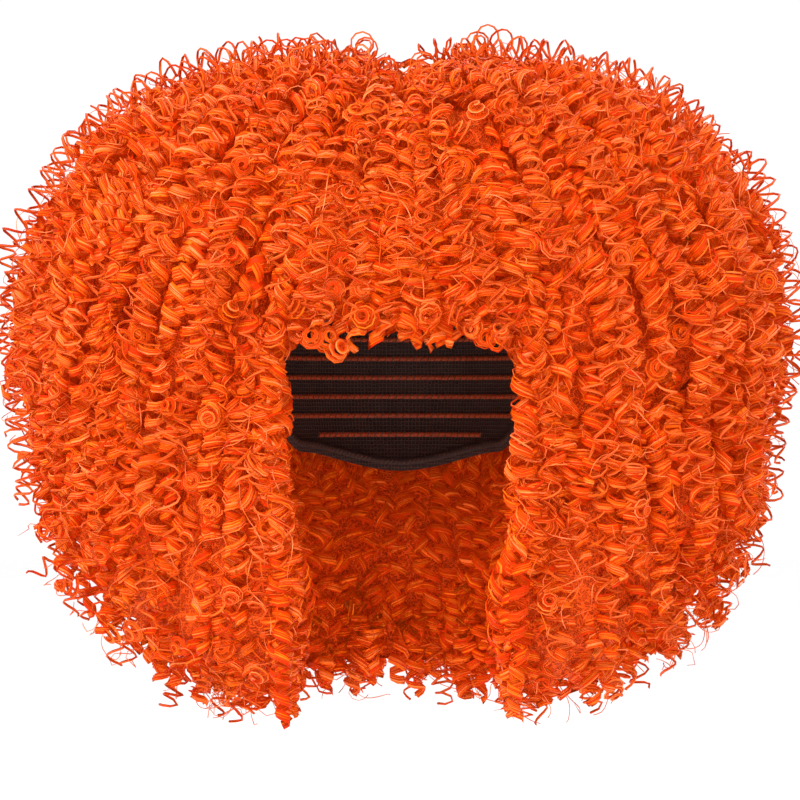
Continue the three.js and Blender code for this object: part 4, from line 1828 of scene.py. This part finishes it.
@dataclass(frozen=True)
class ThreadFinish:
    """Twisted thread or woven tape, with painted shade in its hollows.

    Attributes:
        name: The material's name.
        light: Colour of its crests, linear.
        deep: Colour of its hollows, painted shade.
        grain: Size of its twist.
    """

    name: str
    light: tuple[float, float, float]
    deep: tuple[float, float, float]
    grain: float = 0.7 * MM

    def build(self) -> bpy.types.Material:
        """Makes the material.

        Returns:
            The material.
        """
        material = bpy.data.materials.new(self.name)
        material.use_nodes = True
        graph = Graph(material.node_tree)
        shader = material.node_tree.nodes["Principled BSDF"]
        place = graph.add("ShaderNodeTexCoord").outputs["Object"]
        twist = graph.add("ShaderNodeTexNoise", {"Vector": place, "Scale": 1 / self.grain, "Detail": 2.0})
        # Painted shade: the hollows of the twist are coloured darker than its crests.
        ramp = graph.add("ShaderNodeValToRGB", {"Fac": twist.outputs["Fac"]})
        ramp.color_ramp.elements[0].position = 0.32
        ramp.color_ramp.elements[0].color = (*self.deep, 1.0)
        ramp.color_ramp.elements[1].position = 0.66
        ramp.color_ramp.elements[1].color = (*self.light, 1.0)
        graph.tree.links.new(ramp.outputs["Color"], shader.inputs["Base Color"])
        bump = graph.add(
            "ShaderNodeBump", {"Strength": 0.8, "Distance": 0.3 * MM, "Height": twist.outputs["Fac"]}
        )
        graph.tree.links.new(bump.outputs["Normal"], shader.inputs["Normal"])
        shader.inputs["Roughness"].default_value = 0.7
        return material


@dataclass
class CapSewing:
    """The rows of weft inside the cap and the stitches along its hem.

    Attributes:
        cap: The cap that they are sewn to.
        first: Depth of the highest row.
        apart: Distance between two rows.
        tree: The tree that lays them.
    """

    cap: NetCap
    tree: SewnRowTree
    first: float = 20 * MM
    apart: float = 11 * MM

    def row(self, depth: float, margin: float, offset: float) -> list:
        """Gives the points of one level row, where the cap reaches deep enough.

        Args:
            depth: How far below the crown it lies.
            margin: How far it stays above the cap's edge.
            offset: How far outside the inner surface.

        Returns:
            Its positions, in order round the head.
        """
        turns = np.linspace(0.0, 2 * math.pi, 181)
        reached = [turn for turn in turns if self.cap.edge(turn) > depth + margin]
        return [self.cap.place(turn, depth, offset) for turn in reached]

    def along_edge(self, above: float, offset: float) -> list:
        """Gives the points of a row at a distance above the cap's edge."""
        turns = np.linspace(0.0, 2 * math.pi, 241)
        return [self.cap.place(turn, self.cap.edge(turn) - above, offset) for turn in turns]

    def wefts(self, tape: bpy.types.Material, thread: bpy.types.Material) -> bpy.types.Object:
        """Makes the rows of weft.

        Args:
            tape: What the wefts are made of.
            thread: What they are sewn with.

        Returns:
            The piece.
        """
        depths = np.arange(self.first, self.cap.depth - 12 * MM, self.apart)
        rows = [self.row(depth, 11 * MM, -0.3 * MM) for depth in depths]
        sizes = {
            "Tape Width": 2.6 * MM,
            "Tape Thickness": 0.9 * MM,
            "Stitch Gap": 4.2 * MM,
            "Stitch Length": 3.4 * MM,
            "Stitch Radius": 0.6 * MM,
            "Stitch Lean": math.radians(116),
            "Tape Material": tape,
            "Thread Material": thread,
        }
        return self.tree.make([row for row in rows if len(row) > 2], "wefts", sizes)

    def hem_stitches(self, tape: bpy.types.Material, thread: bpy.types.Material) -> bpy.types.Object:
        """Makes the elastic in the hem, with the zigzag that holds it.

        Args:
            tape: What the elastic is made of.
            thread: What it is sewn with.

        Returns:
            The piece.
        """
        sizes = {
            "Tape Width": 5.0 * MM,
            "Tape Thickness": 0.8 * MM,
            "Stitch Gap": 2.6 * MM,
            "Stitch Length": 4.2 * MM,
            "Stitch Radius": 0.5 * MM,
            "Stitch Lean": math.radians(122),
            "Tape Material": tape,
            "Thread Material": thread,
        }
        return self.tree.make([self.along_edge(4.6 * MM, -0.2 * MM)], "hem_elastic", sizes)


class Wig:
    """The whole wig: inner masses, ringlets, loose fibres and the net cap.

    The amounts in capitals say which section a lock belongs to, in degrees from the front and in
    heights, and how the bands and strands share out the locks.
    """

    BACK_BEYOND = 112
    FRINGE_WITHIN = 34
    FRINGE_ABOVE = -150 * MM
    CROWN_ABOVE = -95 * MM
    WIDE_BAND = 1.6 * MM
    WISP_SHARE = 0.25
    STRAND_TURNS = (-0.22, 0.17)
    ROSETTE_RADII = (0.85, 1.3)

    def __init__(self) -> None:
        """Prepares the form, the fields and the finishes."""
        self.form = HairForm.of_frame()
        self.head = HeadSpace.of_frame()
        self.field = LockField(self.form, self.head)
        self.strands = StrandTree()
        streaks = streak_group()
        # Each set of tones runs from a painted highlight (light) through the fibre's colour (middle) to
        # painted shade (deep).
        tones = {"light": (1.0, 0.225, 0.08), "middle": (0.98, 0.162, 0.003), "deep": (0.64, 0.024, 0.0003)}
        # Painted shade: the springs hang in front in full light, so they get a darker copy of the hair's
        # tones.
        shaded_tones = {"light": (0.88, 0.14, 0.035), "middle": (0.76, 0.1, 0.005), "deep": (0.42, 0.016, 0.0005)}
        self.hair = HairFinish("curly_hair", **tones).build(streaks)
        self.fine = HairFinish("fine_hair", **tones, fibres=1.6, edge=0.0).build(streaks)
        self.spring = HairFinish("spring_hair", **shaded_tones, fibres=3.0, edge=0.2).build(streaks)
        # Painted shade: the matted mass under the ringlets is coloured darker than the ringlets.
        self.matted = MattedFinish(
            "matted_hair", light=(0.85, 0.09, 0.008), deep=(0.3, 0.009, 0.0004)
        ).build()
        self.net = NetFinish("cap_net", thread=(0.075, 0.03, 0.018), ground=(0.016, 0.007, 0.005)).build()
        self.weft = ThreadFinish("weft_tape", light=(0.62, 0.085, 0.012), deep=(0.2, 0.02, 0.003)).build()
        self.elastic = ThreadFinish(
            "elastic_tape", light=(0.06, 0.03, 0.022), deep=(0.02, 0.01, 0.008)
        ).build()
        self.thread = ThreadFinish(
            "sewing_thread", light=(0.16, 0.05, 0.02), deep=(0.05, 0.018, 0.008)
        ).build()
        self.rng = np.random.default_rng(SEED)

    def section_of(self, guides: Guides) -> np.ndarray:
        """Names the section that each lock belongs to, by where its middle lies."""
        middle = guides.points[:, guides.points.shape[1] // 2]
        azimuth = np.degrees(np.arctan2(middle[:, 0], -middle[:, 1]))
        names = np.where(azimuth > 0, Section.LEFT.value, Section.RIGHT.value).astype(object)
        names[np.abs(azimuth) > self.BACK_BEYOND] = Section.BACK.value
        forward = (np.abs(azimuth) < self.FRINGE_WITHIN) & (middle[:, 2] > self.FRINGE_ABOVE)
        names[forward] = Section.FRINGE.value
        return names

    def finish(self, piece: bpy.types.Object) -> bpy.types.Object:
        """Rides a piece on the body."""
        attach(piece, BODY)
        piece.data.calc_loop_triangles()
        log.info("%s: %d triangles", piece.name, len(piece.data.loop_triangles))
        return piece

    def look_of(self, layer: Layer | Loose) -> bpy.types.Material:
        """Picks the finish of a layer: wide bands show their fibres, fine ones are one fibre."""
        if layer is SPRINGS:
            return self.spring
        wide = max(layer.width, layer.thickness) > self.WIDE_BAND
        return self.hair if wide else self.fine

    def by_section(self, guides: Guides, word: str, layer: Layer | Loose) -> None:
        """Makes a piece of each section's share of a set of locks.

        Args:
            guides: The locks.
            word: The end of the pieces' names.
            layer: The layer that gives the band.
        """
        names = self.section_of(guides)
        band = (layer.sections, layer.width, layer.thickness, self.look_of(layer))
        for section in Section:
            parts = [(section.value.replace("_hair", ""), names == section.value)]
            if section is Section.BACK:
                upper = guides.points[:, -1, 2] > self.CROWN_ABOVE
                parts = [("crown", parts[0][1] & upper), ("nape", parts[0][1] & ~upper)]
            for label, mask in parts:
                if mask.any():
                    piece = self.strands.make(guides.chosen(mask), f"{label}_{word}", *band)
                    self.finish(piece)

    def build(self) -> None:
        """Makes every piece."""
        shell = NetCap()
        cap = self.finish(shell.build(self.net))
        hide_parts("cap")
        sewing = CapSewing(shell, SewnRowTree())
        self.finish(sewing.wefts(self.weft, self.thread))
        self.finish(sewing.hem_stitches(self.elastic, self.thread))
        mass = InnerMass(self.form, self.head, self.matted)
        for section in Section:
            piece = self.finish(mass.build(section))
            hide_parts(section.value)
        ringlets = self.locks(RINGLETS, fringe=8)
        ringlets = ringlets.joined(self.field.frame_face(RINGLETS, self.rng))
        self.by_section(ringlets, "ringlets", RINGLETS)
        self.by_section(ringlets.fanned(self.STRAND_TURNS, self.rng), "strands", STRANDS)
        some = ringlets.chosen(self.rng.random(len(ringlets.points)) < self.WISP_SHARE)
        self.by_section(some.loosened(self.rng), "wisps", WISPS)
        outer = self.locks(OUTER, fringe=14)
        self.by_section(outer, "outer", OUTER)
        self.by_section(self.locks(SPRINGS, fringe=5), "springs", SPRINGS)
        rosettes = self.field.rosettes(count=195, fringe=60, edge=12, rng=self.rng)
        self.by_section(rosettes, "rosettes", ROSETTES)
        strands = rosettes.nested(self.ROSETTE_RADII, self.rng)
        self.by_section(strands, "rosette_strands", ROSETTE_STRANDS)
        self.by_section(self.locks(MIDDLE, fringe=18), "middle", MIDDLE)
        loose = self.field.stray(outer.joined(ringlets), count=1200, rng=self.rng)
        self.by_section(loose, "frizz", FRIZZ)
        self.by_section(self.field.hang(self.walls(), OUTER, self.rng), "lining", OUTER)

    def locks(self, layer: Layer, fringe: int) -> Guides:
        """Grows one layer's locks.

        Args:
            layer: The layer.
            fringe: How many tips are added along the fringe's lower edge.

        Returns:
            Their guides.
        """
        tips = self.field.spread_tips(layer.spacing, self.rng)
        tips = np.concatenate([tips, self.field.fringe_tips(fringe, self.rng)])
        return self.field.grow(tips, layer, self.rng)

    def walls(self) -> np.ndarray:
        """Places the upper ends of the locks that line the hollow."""
        beside = 61 * MM
        neck = 30 * MM
        starts = []
        for side in (-1.0, 1.0):
            for forth in np.arange(-92 * MM, -8 * MM, 8 * MM):
                starts.append((side * beside, forth, -88 * MM))
        for turn in np.linspace(math.radians(80), math.radians(280), 40):
            starts.append((neck * math.sin(turn), 12 * MM - neck * math.cos(turn), -140 * MM))
        return np.array(starts)


def main() -> None:
    """Builds the wig and the studio round it."""
    Studio().build()
    Wig().build()


if __name__ == "__main__":
    main()
